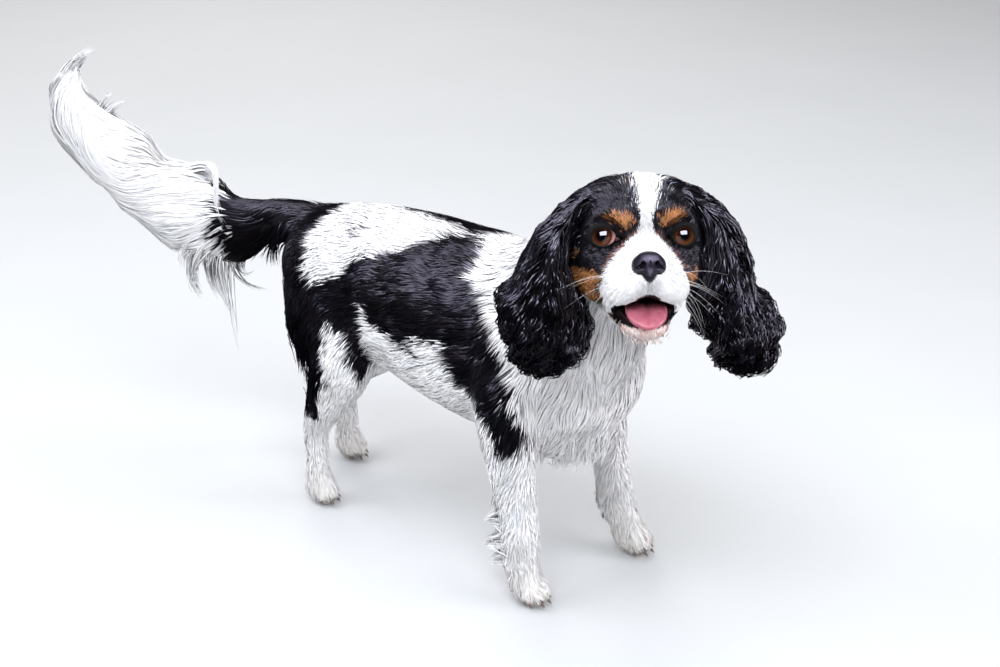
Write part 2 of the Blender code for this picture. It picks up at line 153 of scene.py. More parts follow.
class Volume:
    """Distances to a surface on an even grid of points."""

    def __init__(self, low, high, step, values=None):
        self.low, self.step = np.array(low, float), step
        count = np.ceil((np.array(high) - self.low) / step).astype(int) + 1
        self.values = np.zeros(tuple(count)) if values is None else values

    def points(self):
        axes = [self.low[i] + self.step * np.arange(self.values.shape[i]) for i in range(3)]
        return np.stack(np.meshgrid(*axes, indexing="ij"), -1)

    def blurred(self, times):
        v = self.values
        for _ in range(times):
            for axis in range(3):
                v = 0.5 * v + 0.25 * (np.roll(v, 1, axis) + np.roll(v, -1, axis))
        return Volume(self.low, self.low, self.step, v)

    def at(self, p):
        """The field at each point, read between the grid's points."""
        q = (p - self.low) / self.step
        limit = np.array(self.values.shape) - 1.001
        q = np.clip(q, 0, limit)
        i = q.astype(int)
        f = q - i
        out = 0
        for dx in (0, 1):
            for dy in (0, 1):
                for dz in (0, 1):
                    w = np.abs(1 - dx - f[:, 0]) * np.abs(1 - dy - f[:, 1]) * np.abs(1 - dz - f[:, 2])
                    out = out + w * self.values[i[:, 0] + dx, i[:, 1] + dy, i[:, 2] + dz]
        return out

    def outwards(self, p):
        """The way out of the surface at each point."""
        grad = []
        for axis in range(3):
            shift = np.zeros(3)
            shift[axis] = self.step
            grad.append(self.at(p + shift) - self.at(p - shift))
        return unit(np.stack(grad, -1))

    def surface(self):
        """The surface as points and four-sided faces that point outwards."""
        grid = vdb.FloatGrid(float(self.values.max()))
        grid.copyFromArray(np.ascontiguousarray(self.values, dtype=np.float32))
        grid.transform = vdb.createLinearTransform(voxelSize=self.step)
        points, quads = grid.convertToQuads(0.0)
        points = np.array(points, float) + self.low
        quads = np.array(quads, int)
        a, b, c = points[quads[:, 0]], points[quads[:, 1]], points[quads[:, 2]]
        inside_out = np.einsum("ij,ij->i", a, np.cross(b, c)).sum() < 0
        return points, quads[:, ::-1] if inside_out else quads


def bands(rings, around, first=0):
    """Four-sided faces between rings of points that are numbered on from ring to ring."""
    k = np.arange(around)[:, None]
    m = (k + 1) % around
    a = first + around * np.arange(rings - 1)[None]
    b = a + around
    return np.stack([a + k, b + k, b + m, a + m], -1).reshape(-1, 4)


def blend_by_distance(p, places, values, reach=None):
    """Values given at some places, blended between them by nearness."""
    total, weight = 0, 0
    for i, (place, value) in enumerate(zip(places, values)):
        d2 = ((p - place) ** 2).sum(-1) + 1e-6
        w = (1.0 if reach is None else reach[i]) / d2 ** 2.0
        total = total + w[..., None] * value
        weight = weight + w
    return total / weight[..., None]


# ---------------------------------------------------------------- outline and skin volumes
def merged(node):
    """A CAD node's mesh in the dog's frame with its loose triangles joined: points, triangles."""
    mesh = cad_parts[node].data
    co = np.zeros(len(mesh.vertices) * 3)
    mesh.vertices.foreach_get("co", co)
    mesh.calc_loop_triangles()
    tri = np.zeros(len(mesh.loop_triangles) * 3, int)
    mesh.loop_triangles.foreach_get("vertices", tri)
    key = np.round(co.reshape(-1, 3) * 1e6).astype(np.int64)
    _, first, same = np.unique(key, axis=0, return_index=True, return_inverse=True)
    return co.reshape(-1, 3)[first] - STAND, same.reshape(-1)[tri].reshape(-1, 3)


def swollen(points, triangles, by):
    normal = np.zeros_like(points)
    a, b, c = points[triangles[:, 0]], points[triangles[:, 1]], points[triangles[:, 2]]
    face = np.cross(b - a, c - a)
    for k in range(3):
        np.add.at(normal, triangles[:, k], face)
    return points + unit(normal) * by


def level_set(points, triangles, quads, step, outside, inside):
    return vdb.FloatGrid.createLevelSetFromPolygons(
        points.astype(np.float32),
        triangles=None if triangles is None else triangles.astype(np.uint32),
        quads=None if quads is None else quads.astype(np.uint32),
        transform=vdb.createLinearTransform(voxelSize=step),
        exBandWidth=float(outside),
        inBandWidth=float(inside),
    )


def coat_outline(nodes, like=None):
    """Distance to the coat's outline over some CAD nodes, which are grown until their thin gaps close."""
    points, triangles, base = [], [], 0
    for node in nodes:
        p, t = merged(node)
        points.append(swollen(p, t, 0.0006))
        triangles.append(t + base)
        base += len(p)
    closed = level_set(np.vstack(points), np.vstack(triangles), None, BODY_STEP, 3, 3)
    p, q = closed.convertToQuads(0.0)
    whole = level_set(np.array(p), None, np.array(q), BODY_STEP, 10, 16)
    low = np.floor(np.array(p).min(0) / BODY_STEP).astype(int) - 10
    high = np.ceil(np.array(p).max(0) / BODY_STEP).astype(int) + 10
    if like is not None:
        low = np.round(like.low / BODY_STEP).astype(int)
        high = low + like.values.shape
    values = np.full(tuple(high - low), 10 * BODY_STEP, np.float32)
    whole.copyToArray(values, ijk=tuple(int(i) for i in low))
    return Volume(low * BODY_STEP, low * BODY_STEP, BODY_STEP, values)


# How far the skin lies under the tips of the coat: from, to, how strongly it counts, depth.
COAT_DEPTH = [
    ((0, -0.12, 0.21), (0, 0.15, 0.24), 1.0, 0.0066),
    ((0, -0.1, 0.13), (0, 0.08, 0.15), 0.35, 0.0085),
    ((-0.012, -0.18, 0.24), (-0.012, -0.14, 0.16), 0.6, 0.01),
    ((-0.006, -0.1, 0.27), (-0.026, -0.19, 0.33), 0.5, 0.0085),
    ((-0.057, -0.115, 0.14), (-0.057, -0.122, 0.06), 0.45, 0.0048),
    ((0.066, -0.115, 0.14), (0.071, -0.124, 0.06), 0.45, 0.0048),
    ((-0.055, -0.127, 0.03), (-0.055, -0.14, 0.016), 0.35, 0.0042),
    ((0.077, -0.139, 0.03), (0.077, -0.152, 0.016), 0.35, 0.0042),
    ((-0.04, 0.132, 0.21), (-0.044, 0.11, 0.16), 0.4, 0.0066),
    ((0.04, 0.134, 0.21), (0.046, 0.12, 0.165), 0.4, 0.0066),
    ((-0.044, 0.12, 0.13), (-0.043, 0.148, 0.08), 0.35, 0.0052),
    ((0.046, 0.14, 0.13), (0.044, 0.2, 0.086), 0.35, 0.0052),
    ((-0.043, 0.148, 0.07), (-0.042, 0.14, 0.016), 0.35, 0.004),
    ((0.044, 0.2, 0.07), (0.044, 0.188, 0.016), 0.35, 0.004),
]
# Where the skin is slimmer than that behind the fore legs: centre, half sizes.
LEG_HOLLOWS = [
    ((0.068, -0.084, 0.058), (0.034, 0.022, 0.046)), ((-0.057, -0.084, 0.046), (0.034, 0.017, 0.034)),
    ((0.034, -0.118, 0.052), (0.0185, 0.034, 0.032)),
]
EAR_DEPTH = 0.0065
HEAD_CORE_DEPTH = 0.011


def rod_places(a, b, count=4):
    return [mix(np.array(a, float), np.array(b, float), i / (count - 1)) for i in range(count)]


def coat_depth(p):
    """Depth of the coat at points of the trunk, neck and legs."""
    places, depths, reach = [], [], []
    for a, b, weight, depth in COAT_DEPTH:
        for place in rod_places(a, b):
            places.append(place)
            depths.append(np.array([depth]))
            reach.append(weight)
    return blend_by_distance(p, places, depths, reach)[..., 0]


# The tail's core at places along it: back from its root, up, radius.
TAIL_CORE = [(-0.03, 0.004, 0.0125), (0.01, 0.008, 0.0115), (0.05, 0.006, 0.0095), (0.09, 0.002, 0.008),
             (0.125, 0.014, 0.0068), (0.158, 0.034, 0.0056), (0.188, 0.06, 0.0042), (0.206, 0.084, 0.0028)]
# The crest of the plume over the outline of its core: from, to (back, up), and radius at both ends.
PLUME_CREST = [
    ((0.098, 0.03), (0.125, 0.036), 0.008, 0.0115), ((0.125, 0.036), (0.158, 0.066), 0.0115, 0.012),
    ((0.158, 0.066), (0.186, 0.086), 0.012, 0.0085), ((-0.045, -0.004), (0.035, 0.003), 0.014, 0.0155),
    ((0.236, 0.088), (0.196, 0.043), 0.008, 0.0085), ((0.18, 0.018), (0.16, 0.009), 0.0085, 0.008),
]
# Hollows between its locks, as back, aside and up: centre, half sizes.
PLUME_HOLLOWS = [((0.112, 0.0, -0.052), (0.027, 0.05, 0.021)), ((0.134, 0.0, 0.08), (0.013, 0.05, 0.021)),
                 ((0.205, 0.0, 0.01), (0.014, 0.05, 0.018)), ((0.2, 0.0, 0.168), (0.026, 0.05, 0.024))]
PLUME_DEPTH = 0.005


def plume_field(tail, p):
    """Distance to the firm inside of the tail's plume: under the outline of its hair, with its crest."""
    out = tail
    for (r0, u0), (r1, u1), w0, w1 in PLUME_CREST:
        out = soft_join(out, rod(p, along_tail(r0, u0), along_tail(r1, u1), w0, w1) - PLUME_DEPTH, 0.012)
    v = p - TAIL_ROOT
    local = np.stack([v @ TAIL_BACK, v @ TAIL_SIDE, v[..., 2]], -1)
    for centre, half in PLUME_HOLLOWS:
        out = soft_cut(out, ball(local, centre, half), 0.01)
    return out + PLUME_DEPTH


# The open mouth, as centre and half sizes in left, forward and up: roof, front, and the tongue's trough.
MOUTH_ROOF = ((0, 0.012, -0.0535), (0.0215, 0.032, 0.0105))
MOUTH_FRONT = ((0, 0.039, -0.0512), (0.01, 0.013, 0.0102))
MOUTH_TROUGH = ((0, 0.012, -0.053), (0.017, 0.033, 0.008))

# The bare forms of the head, in left, forward and up: centre, half sizes. The coat's depth is off them.
HEAD_FORMS = [
    ((0, -0.045, 0.0045), (0.045, 0.0455, 0.039), 0.01),
    ((0, -0.022, -0.018), (0.04, 0.031, 0.027), 0.012),
    ((0, 0.014, -0.0225), (0.02, 0.027, 0.017), 0.014),
    ((0, 0.025, -0.0175), (0.0125, 0.019, 0.0095), 0.01),
    ((0, 0.033, -0.029), (0.012, 0.0105, 0.0125), 0.006),
    ((0, -0.056, -0.038), (0.033, 0.032, 0.032), 0.012),
]
HEAD_PAIRS = [
    ((0.02, -0.0085, 0.014), (0.0175, 0.0115, 0.0105), 0.014),
    ((0.0265, -0.043, 0.0265), (0.015, 0.025, 0.0125), 0.012),
    ((0.0345, -0.024, -0.002), (0.0125, 0.017, 0.018), 0.01),
    ((0.033, -0.027, -0.0285), (0.014, 0.025, 0.0225), 0.016),
    ((0.0163, 0.0165, -0.0362), (0.015, 0.0215, 0.0142), 0.01),
    ((0.007, 0.0325, -0.033), (0.0085, 0.0095, 0.0095), 0.006),
    ((0.0215, -0.008, -0.05), (0.008, 0.013, 0.01), 0.008),
]
JAW_FORMS = [
    ((0, -0.014, -0.058), (0.0235, 0.034, 0.0125), 0.008),
    ((0, 0.01, -0.0668), (0.0165, 0.0245, 0.009), 0.008),
]


def mirrored(centre, side):
    return (centre[0] * side, centre[1], centre[2])


EYE_CENTRE = {s: np.array((EYE_HALF_SPACING * s, -EYE_DEPTH, 0.0)) for s in (RIGHT, LEFT)}
TEAR_CORNER = {RIGHT: (-0.0192, 0.0005, -0.0022), LEFT: (0.021, -0.0015, -0.0022)}
EYE_GAZE = {s: np.array((math.sin(EYE_SPLAY) * s, math.cos(EYE_SPLAY), 0.0)) for s in (RIGHT, LEFT)}


def head_skin(p):
    """Distance to the skin of the head, for points as left, forward and up."""
    out = None
    for centre, radii, blend in HEAD_FORMS:
        form = ball(p, centre, radii)
        out = form if out is None else soft_join(out, form, blend)
    for centre, radii, blend in HEAD_PAIRS:
        for side in (RIGHT, LEFT):
            out = soft_join(out, ball(p, mirrored(centre, side), radii), blend)
    for side in (RIGHT, LEFT):
        eye, gaze = EYE_CENTRE[side], EYE_GAZE[side]
        out = soft_join(out, np.linalg.norm(p - (eye - gaze * 0.0016), axis=-1) - 0.0121, 0.005)
    # the groove below the nose, and the stop between the eyes
    out = soft_cut(out, ball(p, (0, 0.0445, -0.0345), (0.0011, 0.005, 0.0075)), 0.003)
    out = soft_cut(out, ball(p, (0, 0.0085, 0.016), (0.0045, 0.005, 0.015)), 0.008)
    # the roof of the open mouth, then the jaw below it
    out = soft_cut(soft_cut(out, ball(p, *MOUTH_ROOF), 0.003), ball(p, *MOUTH_FRONT), 0.003)
    jaw = None
    for centre, radii, blend in JAW_FORMS:
        form = ball(p, centre, radii)
        jaw = form if jaw is None else soft_join(jaw, form, blend)
    jaw = soft_cut(jaw, ball(p, *MOUTH_TROUGH), 0.003)
    out = soft_join(out, jaw, 0.0015)
    # the sockets, which the lids close
    for side in (RIGHT, LEFT):
        eye, axis = EYE_CENTRE[side], LID_AXIS[side]
        v = p - eye
        along = v @ axis
        off = np.linalg.norm(v - along[..., None] * axis, axis=-1)
        opening = np.maximum(off - along * 1.75, -along)
        out = np.maximum(out, -np.maximum(opening * 0.5, np.linalg.norm(v, axis=-1) - 0.02))
        out = np.maximum(out, -(np.linalg.norm(v, axis=-1) - (EYE_RADIUS + 0.0002)))
        out = soft_cut(out, ball(p, TEAR_CORNER[side], (0.0042, 0.007, 0.0026)), 0.0015)
    return out


def body_volumes():
    """The coat's outline and, under it, the skin of all but the head's fine forms."""
    nodes = sorted(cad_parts)
    tail = [n for n in nodes if n.startswith("tail_")]
    ears = [n for n in nodes if n.startswith("ear_")]
    outline = coat_outline(nodes)
    rest = coat_outline([n for n in nodes if n not in tail + ears], outline)
    ear = coat_outline(ears)
    plume = coat_outline(tail, outline)
    plume.values = plume_field(plume.values, plume.points())
    plume = plume.blurred(3)
    outline.values = np.minimum(outline.values, plume.values - PLUME_DEPTH)
    p = rest.points()
    near = rest.values < 0.004
    depth = np.full(rest.values.shape, 0.01)
    depth[near] = coat_depth(p[near])
    from_middle = (to_head(p) - np.array((0, -0.03, -0.01))) / np.array((0.06, 0.068, 0.06))
    in_skull = np.linalg.norm(from_middle, axis=-1)
    depth = mix(depth, HEAD_CORE_DEPTH, ease(1.25, 0.95, in_skull))
    skin = rest.values + depth
    for centre, half in LEG_HOLLOWS:
        skin = soft_cut(skin, ball(p, centre, half), 0.008)
    skin = Volume(rest.low, rest.low, BODY_STEP, skin).blurred(4)
    return outline, skin, ear, plume


# ---------------------------------------------------------------- markings
# A patch is an outline in how far back it is (y) and how far round the trunk from the spine (degrees).
ROUND_CENTRE = 0.215
RIGHT_BLACK = [
    (-0.028, -2), (-0.052, 17), (-0.057, 35), (-0.077, 39), (-0.082, 50), (-0.101, 65), (-0.115, 82),
    (-0.124, 104), (-0.133, 122), (-0.13, 134), (-0.119, 133), (-0.111, 121), (-0.102, 117), (-0.082, 111),
    (-0.059, 107), (-0.048, 93), (-0.047, 80), (-0.029, 82), (-0.006, 85), (-0.016, 99), (0.001, 95),
    (0.021, 91), (0.041, 87), (0.057, 77), (0.061, 100), (0.06, 136), (0.078, 142), (0.084, 122),
    (0.089, 106), (0.106, 102), (0.109, 118), (0.111, 132), (0.119, 150), (0.3, 160), (0.3, -40),
    (0.14, -30), (0.11, -14), (0.06, -6), (0.01, -5),
]
RIGHT_SADDLE = [(-0.03, 5), (-0.005, 14), (0.007, 22), (0.027, 31), (0.054, 38), (0.08, 44), (0.088, 57),
                (0.121, 71), (0.133, 64), (0.145, 41), (0.141, 20), (0.138, 8), (0.136, -8), (0.118, -14),
                (0.085, -9), (0.04, -6), (0.005, -2)]
LEFT_BLACK = [(-0.034, -4), (-0.06, 20), (-0.072, 44), (-0.09, 62), (-0.094, 86), (-0.07, 104), (-0.04, 97),
              (-0.02, 108), (0.012, 100), (0.04, 92), (0.066, 80), (0.09, 66), (0.104, 44), (0.098, 22),
              (0.07, 8), (0.03, 3), (0.0, 2)]
LEFT_RUMP = [(0.14, -20), (0.146, 20), (0.138, 44), (0.12, 70), (0.112, 92), (0.126, 112), (0.152, 120),
             (0.178, 132), (0.3, 130), (0.3, -40)]


def outside_by(outline, u, v):
    """Signed distance of points (u, v) from a closed outline, negative inside."""
    a = np.array(outline, float)
    b = np.roll(a, -1, 0)
    best = np.full(u.shape, 1e9)
    inside = np.zeros(u.shape, bool)
    for (x0, y0), (x1, y1) in zip(a, b):
        ex, ey = x1 - x0, y1 - y0
        t = np.clip(((u - x0) * ex + (v - y0) * ey) / (ex * ex + ey * ey + 1e-18), 0, 1)
        best = np.minimum(best, np.hypot(u - x0 - t * ex, v - y0 - t * ey))
        if y1 != y0:
            crosses = ((y0 > v) != (y1 > v)) & (u < (x1 - x0) * (v - y0) / (y1 - y0) + x0)
            inside ^= crosses
    return np.where(inside, -best, best)


ROUND_SCALE = math.radians(0.075)  # metres round the trunk for each degree


def trunk_black(p):
    """How far points of the trunk and legs lie outside the black, negative in it."""
    x, y, z = p[:, 0], p[:, 1], p[:, 2]
    turn = np.degrees(np.arctan2(-x, z - ROUND_CENTRE))
    right, left = np.where(turn < -90, turn + 360, turn), np.where(-turn < -90, 360 - turn, -turn)
    s = ROUND_SCALE

    def patch(outline, round_by):
        return outside_by([(u, v * s) for u, v in outline], y, round_by * s)

    black = patch(RIGHT_BLACK, right)
    black = np.maximum(black, -patch(RIGHT_SADDLE, right))
    spot = np.hypot((y - 0.091) * 0.8, (right - 23) * s * 0.7) - 0.004
    black = np.minimum(black, spot)
    black = np.where(x > 0.004, 1.0, black)
    other = np.minimum(patch(LEFT_BLACK, left), patch(LEFT_RUMP, left))
    other = np.where(x < -0.012, 1.0, other)
    both = np.minimum(black, other)
    # legs: the fore legs are white under the elbow, the right hind leg is black behind
    fore = (y < -0.05) & (z < 0.15)
    both = np.where(fore, np.maximum(both, 0.15 - z), both)
    low = (y > 0.05) & (z < 0.135)
    back_edge = mix(0.118, 0.131, ease(0.135, 0.1, z)) - y
    stripe = np.maximum(np.abs(z - 0.064) - 0.022, 0.156 - y + 0.1 * (z - 0.06))
    right_hind = np.where(z > 0.098, np.maximum(back_edge, 0.1 - z), stripe)
    left_hind = np.full(len(p), 0.02)
    hind = np.where(x < 0, right_hind, left_hind)
    both = np.where(low, hind, both)
    belly = (z < 0.165) & (y < 0.07) & (y > -0.13) & (np.abs(x) < 0.045)
    return np.where(belly, 0.02, both)


# The white of the face between the black: how high, its edge on the dog's right, and on its left.
BLAZE = [
    (0.06, -0.004, 0.014), (0.047, -0.0045, 0.017), (0.038, -0.005, 0.015), (0.027, -0.0042, 0.011),
    (0.019, -0.0031, 0.0082), (0.009, -0.0027, 0.006), (0.002, -0.0063, 0.0088), (-0.004, -0.0123, 0.014),
    (-0.009, -0.0175, 0.019), (-0.013, -0.0214, 0.0225), (-0.021, -0.0266, 0.0275),
    (-0.029, -0.0305, 0.031), (-0.037, -0.0325, 0.0325), (-0.046, -0.031, 0.031), (-0.052, -0.029, 0.029),
]
BROW_SPOTS = {
    RIGHT: [(-0.029, 0.0148), (-0.0264, 0.0176), (-0.019, 0.0196), (-0.012, 0.0186), (-0.008, 0.0144),
            (-0.007, 0.0104), (-0.01, 0.0074), (-0.0145, 0.0062), (-0.0188, 0.0086), (-0.0238, 0.0116)],
    LEFT: [(0.0106, 0.0118), (0.0128, 0.0168), (0.0188, 0.0198), (0.0262, 0.0206), (0.0314, 0.0182),
           (0.0306, 0.0146), (0.0262, 0.0116), (0.021, 0.0086), (0.016, 0.0068), (0.012, 0.0082)],
}
CHEEK_TAN = [(-0.034, -0.02), (-0.024, -0.022), (-0.014, -0.0235), (-0.004, -0.0245), (0.003, -0.027),
             (0.002, -0.0315), (-0.004, -0.038), (-0.008, -0.047), (-0.018, -0.05), (-0.03, -0.044)]


def head_marks(h):
    """For points as left, forward and up in the head: how far outside the white and outside the tan."""
    left, forward, up = h[:, 0], h[:, 1], h[:, 2]
    levels = [b[0] for b in BLAZE][::-1]
    right_edge = np.interp(up, levels, [b[1] for b in BLAZE][::-1])
    left_edge = np.interp(up, levels, [b[2] for b in BLAZE][::-1])
    # over the crown the blaze runs back and narrows to a point
    crown = forward < -0.034
    taper = ease(-0.1, -0.04, forward)
    middle = 0.005
    right_edge = np.where(crown, mix(middle, np.minimum(right_edge, -0.0035), taper), right_edge)
    left_edge = np.where(crown, mix(middle, 0.015, taper), left_edge)
    white = np.maximum(left - left_edge, right_edge - left)
    behind_muzzle = np.where(up < -0.004, -0.006 - forward, -1.0)
    white = np.maximum(white, np.where(up < -0.012, behind_muzzle, -1.0))
    behind = np.where(crown & (up < 0.0), 0.02, -1.0)
    white = np.maximum(white, behind)
    tan = np.minimum(outside_by(BROW_SPOTS[RIGHT], left, up), outside_by(BROW_SPOTS[LEFT], left, up))
    tan = np.where(forward > -0.022, tan, 1.0)
    side = outside_by(CHEEK_TAN, forward, up)
    side = np.where((np.abs(left) > 0.018) & ((left < 0) | (forward > -0.004)), side, 1.0)
    by_eye = ball(h, (-0.048, -0.02, -0.0125), (0.004, 0.004, 0.0045))
    tan = np.minimum(tan, np.minimum(side, by_eye))
    return white, tan


WHITE = np.array((0.9, 0.885, 0.875))
CREAM = np.array((0.86, 0.75, 0.61))
BLACK = np.array((0.0052, 0.0045, 0.006))
TAN = np.array((0.4, 0.165, 0.06))
FRINGE = np.array((0.2, 0.09, 0.07))
CHIN = np.array((0.78, 0.5, 0.43))
LIP = np.array((0.007, 0.0058, 0.0065))
GREY = np.array((0.34, 0.32, 0.34))


def choose(chance, rng):
    return rng.random(chance.shape) < chance


TRUNK_EDGE = 0.0022
HEAD_EDGE = 0.0007


def trunk_colour(p, rng):
    """Colour of hairs rooted at points of the trunk, legs and paws: each hair takes one side of an edge."""
    edge = trunk_black(p) + rng.normal(0, TRUNK_EDGE, len(p)) + 0.0022 * ripple(p, 0.016, 5)
    black = edge < 0
    colour = np.where(black[:, None], BLACK, WHITE)
    near = (~black) & (edge < 0.004) & choose(np.full(len(p), 0.35), rng)
    colour = np.where(near[:, None], GREY, colour)
    yellow = ease(0.07, 0.0, p[:, 2]) * 0.35
    return np.where(black[:, None], colour, mix(colour, CREAM, yellow[:, None])), black


def head_colour(p, rng):
    """Colour of hairs rooted at points of the head."""
    h = to_head(p)
    white, tan = head_marks(h)
    forward, up, left = h[:, 1], h[:, 2], h[:, 0]
    crown = ease(0.016, 0.044, up)
    frayed = rng.normal(0, 1, len(p)) * HEAD_EDGE * mix(1.0, 3.2, crown)
    white = white + frayed + 0.0006 * ripple(p, 0.006, 11)
    tan = tan + rng.normal(0, HEAD_EDGE * 1.6, len(p)) + 0.0008 * ripple(p, 0.007, 12)
    tan = np.where(choose(0.6 * ease(-0.0034, 0.0, tan), rng), 1.0, tan)
    colour = np.where((tan < 0)[:, None], TAN * rng.uniform(0.5, 1.45, (len(p), 1)), BLACK)
    silver = (white > 0) & (white < 0.0075) & choose(crown * 0.3, rng)
    colour = np.where(silver[:, None], GREY, colour)
    fringe = (white < 0.0035) & (white > 0) & (up < 0.004) & (up > -0.024) & (forward > -0.02)
    colour = np.where((fringe & choose(np.full(len(p), 0.55), rng))[:, None], FRINGE, colour)
    colour = np.where((white < 0)[:, None], WHITE, colour)
    black = (white >= 0) & (tan >= 0)
    # the jaw, chin and throat are white, warmer and pinker by the lips
    jaw = (up < -0.056) & (forward > -0.03)
    warm = mix(WHITE, CHIN, (ease(-0.079, -0.067, up) * rng.uniform(0.0, 1.35, len(p)))[:, None])
    colour = np.where(jaw[:, None], warm, colour)
    throat = (up < np.where(np.abs(left) > 0.026, -0.056, -0.05)) & ~jaw
    colour = np.where(throat[:, None], WHITE, colour)
    black &= ~(jaw | throat)
    rim = jaw & (mouth_marks(h) + rng.normal(0, 0.0006, len(h)) < lip_width(h))
    colour = np.where(rim[:, None], BLACK, colour)
    black |= rim
    # greyer and shorter just under the nose: the grey is painted shade in the groove below the nose
    under = ease(0.014, 0.004, np.abs(left)) * ease(-0.024, -0.029, up) * ease(0.03, 0.036, forward)
    under = under * ease(-0.046, -0.04, up)
    colour = mix(colour, GREY, (under * 0.75 * rng.uniform(0.3, 1, len(p)))[:, None] * (white < 0)[:, None])
    return colour, black


# ---------------------------------------------------------------- making pieces
def make_mesh(name, points, face_groups, colours=None, flat_map=None, extras=None, combed=None):
    """A mesh object from points in the dog's frame and arrays of faces of one size each.

    combed gives the way out of the coat at each point, scaled by how far it replaces the point's own normal.
    """
    mesh = bpy.data.meshes.new(name)
    points = np.asarray(points, np.float32) + STAND.astype(np.float32)
    loops = np.concatenate([np.asarray(g).ravel() for g in face_groups]).astype(np.int32)
    sizes = np.concatenate([np.full(len(g), np.asarray(g).shape[1]) for g in face_groups]).astype(np.int32)
    starts = np.concatenate([[0], np.cumsum(sizes)[:-1]]).astype(np.int32)
    mesh.vertices.add(len(points))
    mesh.vertices.foreach_set("co", points.ravel())
    mesh.loops.add(len(loops))
    mesh.loops.foreach_set("vertex_index", loops)
    mesh.polygons.add(len(sizes))
    mesh.polygons.foreach_set("loop_start", starts)
    mesh.polygons.foreach_set("loop_total", sizes)
    mesh.polygons.foreach_set("use_smooth", np.ones(len(sizes), bool))
    mesh.update(calc_edges=True)
    if colours is not None:
        layer = mesh.color_attributes.new("coat", "FLOAT_COLOR", "POINT")
        rgba = np.ones((len(points), 4), np.float32)
        rgba[:, :3] = colours
        layer.data.foreach_set("color", rgba.ravel())
    for key, value in (extras or {}).items():
        layer = mesh.attributes.new(key, "FLOAT", "POINT")
        layer.data.foreach_set("value", np.asarray(value, np.float32))
    if flat_map is not None:
        uv = mesh.uv_layers.new(name="OFBake")
        uv.data.foreach_set("uv", np.asarray(flat_map, np.float32)[loops].ravel())
    if combed is not None:
        own = np.empty(len(points) * 3, np.float32)
        mesh.vertex_normals.foreach_get("vector", own)
        share = np.linalg.norm(combed, axis=1, keepdims=True)
        both = unit(own.reshape(-1, 3) * (1 - share) + combed).astype(np.float32)
        layer = mesh.attributes.new("custom_normal", "FLOAT_VECTOR", "POINT")
        layer.data.foreach_set("vector", both.ravel())
    obj = bpy.data.objects.new(name, mesh)
    bpy.context.scene.collection.objects.link(obj)
    return obj


def finish_piece(obj, material, replaces=()):
    obj.data.materials.clear()
    obj.data.materials.append(material)
    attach(obj, "root")
    if replaces:
        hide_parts(*replaces)
    return obj


class Nodes:
    """Short hand for building one material's nodes."""

    def __init__(self, name):
        self.material = bpy.data.materials.new(name)
        self.material.use_nodes = True
        self.tree = self.material.node_tree
        self.shader = self.tree.nodes["Principled BSDF"]

    def add(self, kind, settings=None, **inputs):
        node = self.tree.nodes.new("ShaderNode" + kind)
        for key, value in (settings or {}).items():
            setattr(node, key, value)
        for key, value in inputs.items():
            self.join(value, node.inputs[int(key[1:]) if key[0] == "_" else key.replace("_", " ")])
        return node

    def join(self, value, socket):
        if isinstance(value, bpy.types.NodeSocket):
            self.tree.links.new(value, socket)
        else:
            socket.default_value = value

    def set(self, **inputs):
        for key, value in inputs.items():
            self.join(value, self.shader.inputs[key.replace("_", " ")])
        return self.material

    def noise(self, scale, detail):
        made = self.add("TexNoise", Scale=scale, Detail=detail, Roughness=0.55, Vector=self.place())
        return made.outputs["Fac"]

    def attribute(self, name, output="Fac"):
        return self.add("Attribute", {"attribute_name": name}).outputs[output]

    def remap(self, value, low, high, to_low, to_high):
        made = self.add("MapRange", Value=value, From_Min=low, From_Max=high, To_Min=to_low, To_Max=to_high)
        return made.outputs[0]

    def blend(self, factor, a, b):
        return self.add("Mix", {"data_type": "RGBA"}, Factor=factor, _6=(*a, 1), _7=(*b, 1)).outputs[2]

    def place(self):
        return self.add("TexCoord").outputs["Object"]

    def bump(self, height, strength, distance):
        return self.add("Bump", Height=height, Strength=strength, Distance=distance).outputs["Normal"]


def hair_material(name, roughness, shine):
    """Coat: the attribute's colour, a little uneven from place to place."""
    n = Nodes(name)
    value = n.remap(n.noise(60.0, 4.0), 0.3, 0.7, 0.95, 1.05)
    tone = n.add("HueSaturation", Color=n.attribute("coat", "Color"), Value=value)
    n.set(Base_Color=tone.outputs["Color"], Roughness=roughness, Specular_IOR_Level=shine)
    return n.set(Specular_Tint=(0.86, 0.8, 1.0, 1))


def skin_material():
    """Skin: short flat fur as fine bump, bare and wet where the lips, lids and mouth are."""
    n = Nodes("skin_under_coat")
    bare = n.attribute("bare")
    value = n.remap(n.noise(140.0, 4.0), 0.3, 0.7, 0.86, 1.1)
    tone = n.add("HueSaturation", Color=n.attribute("coat", "Color"), Value=value)
    rough = n.remap(bare, 0.0, 1.0, 0.75, 0.42)
    hide = n.add("TexVoronoi", Scale=1100.0, Vector=n.place())
    grain = n.noise(1500.0, 2.0)
    depth = n.add("Mix", {"data_type": "FLOAT"}, Factor=bare, _2=grain, _3=hide.outputs["Distance"])
    n.set(Base_Color=tone.outputs["Color"], Roughness=rough, Specular_IOR_Level=0.16)
    return n.set(Normal=n.bump(depth.outputs[0], 0.35, 0.0004))


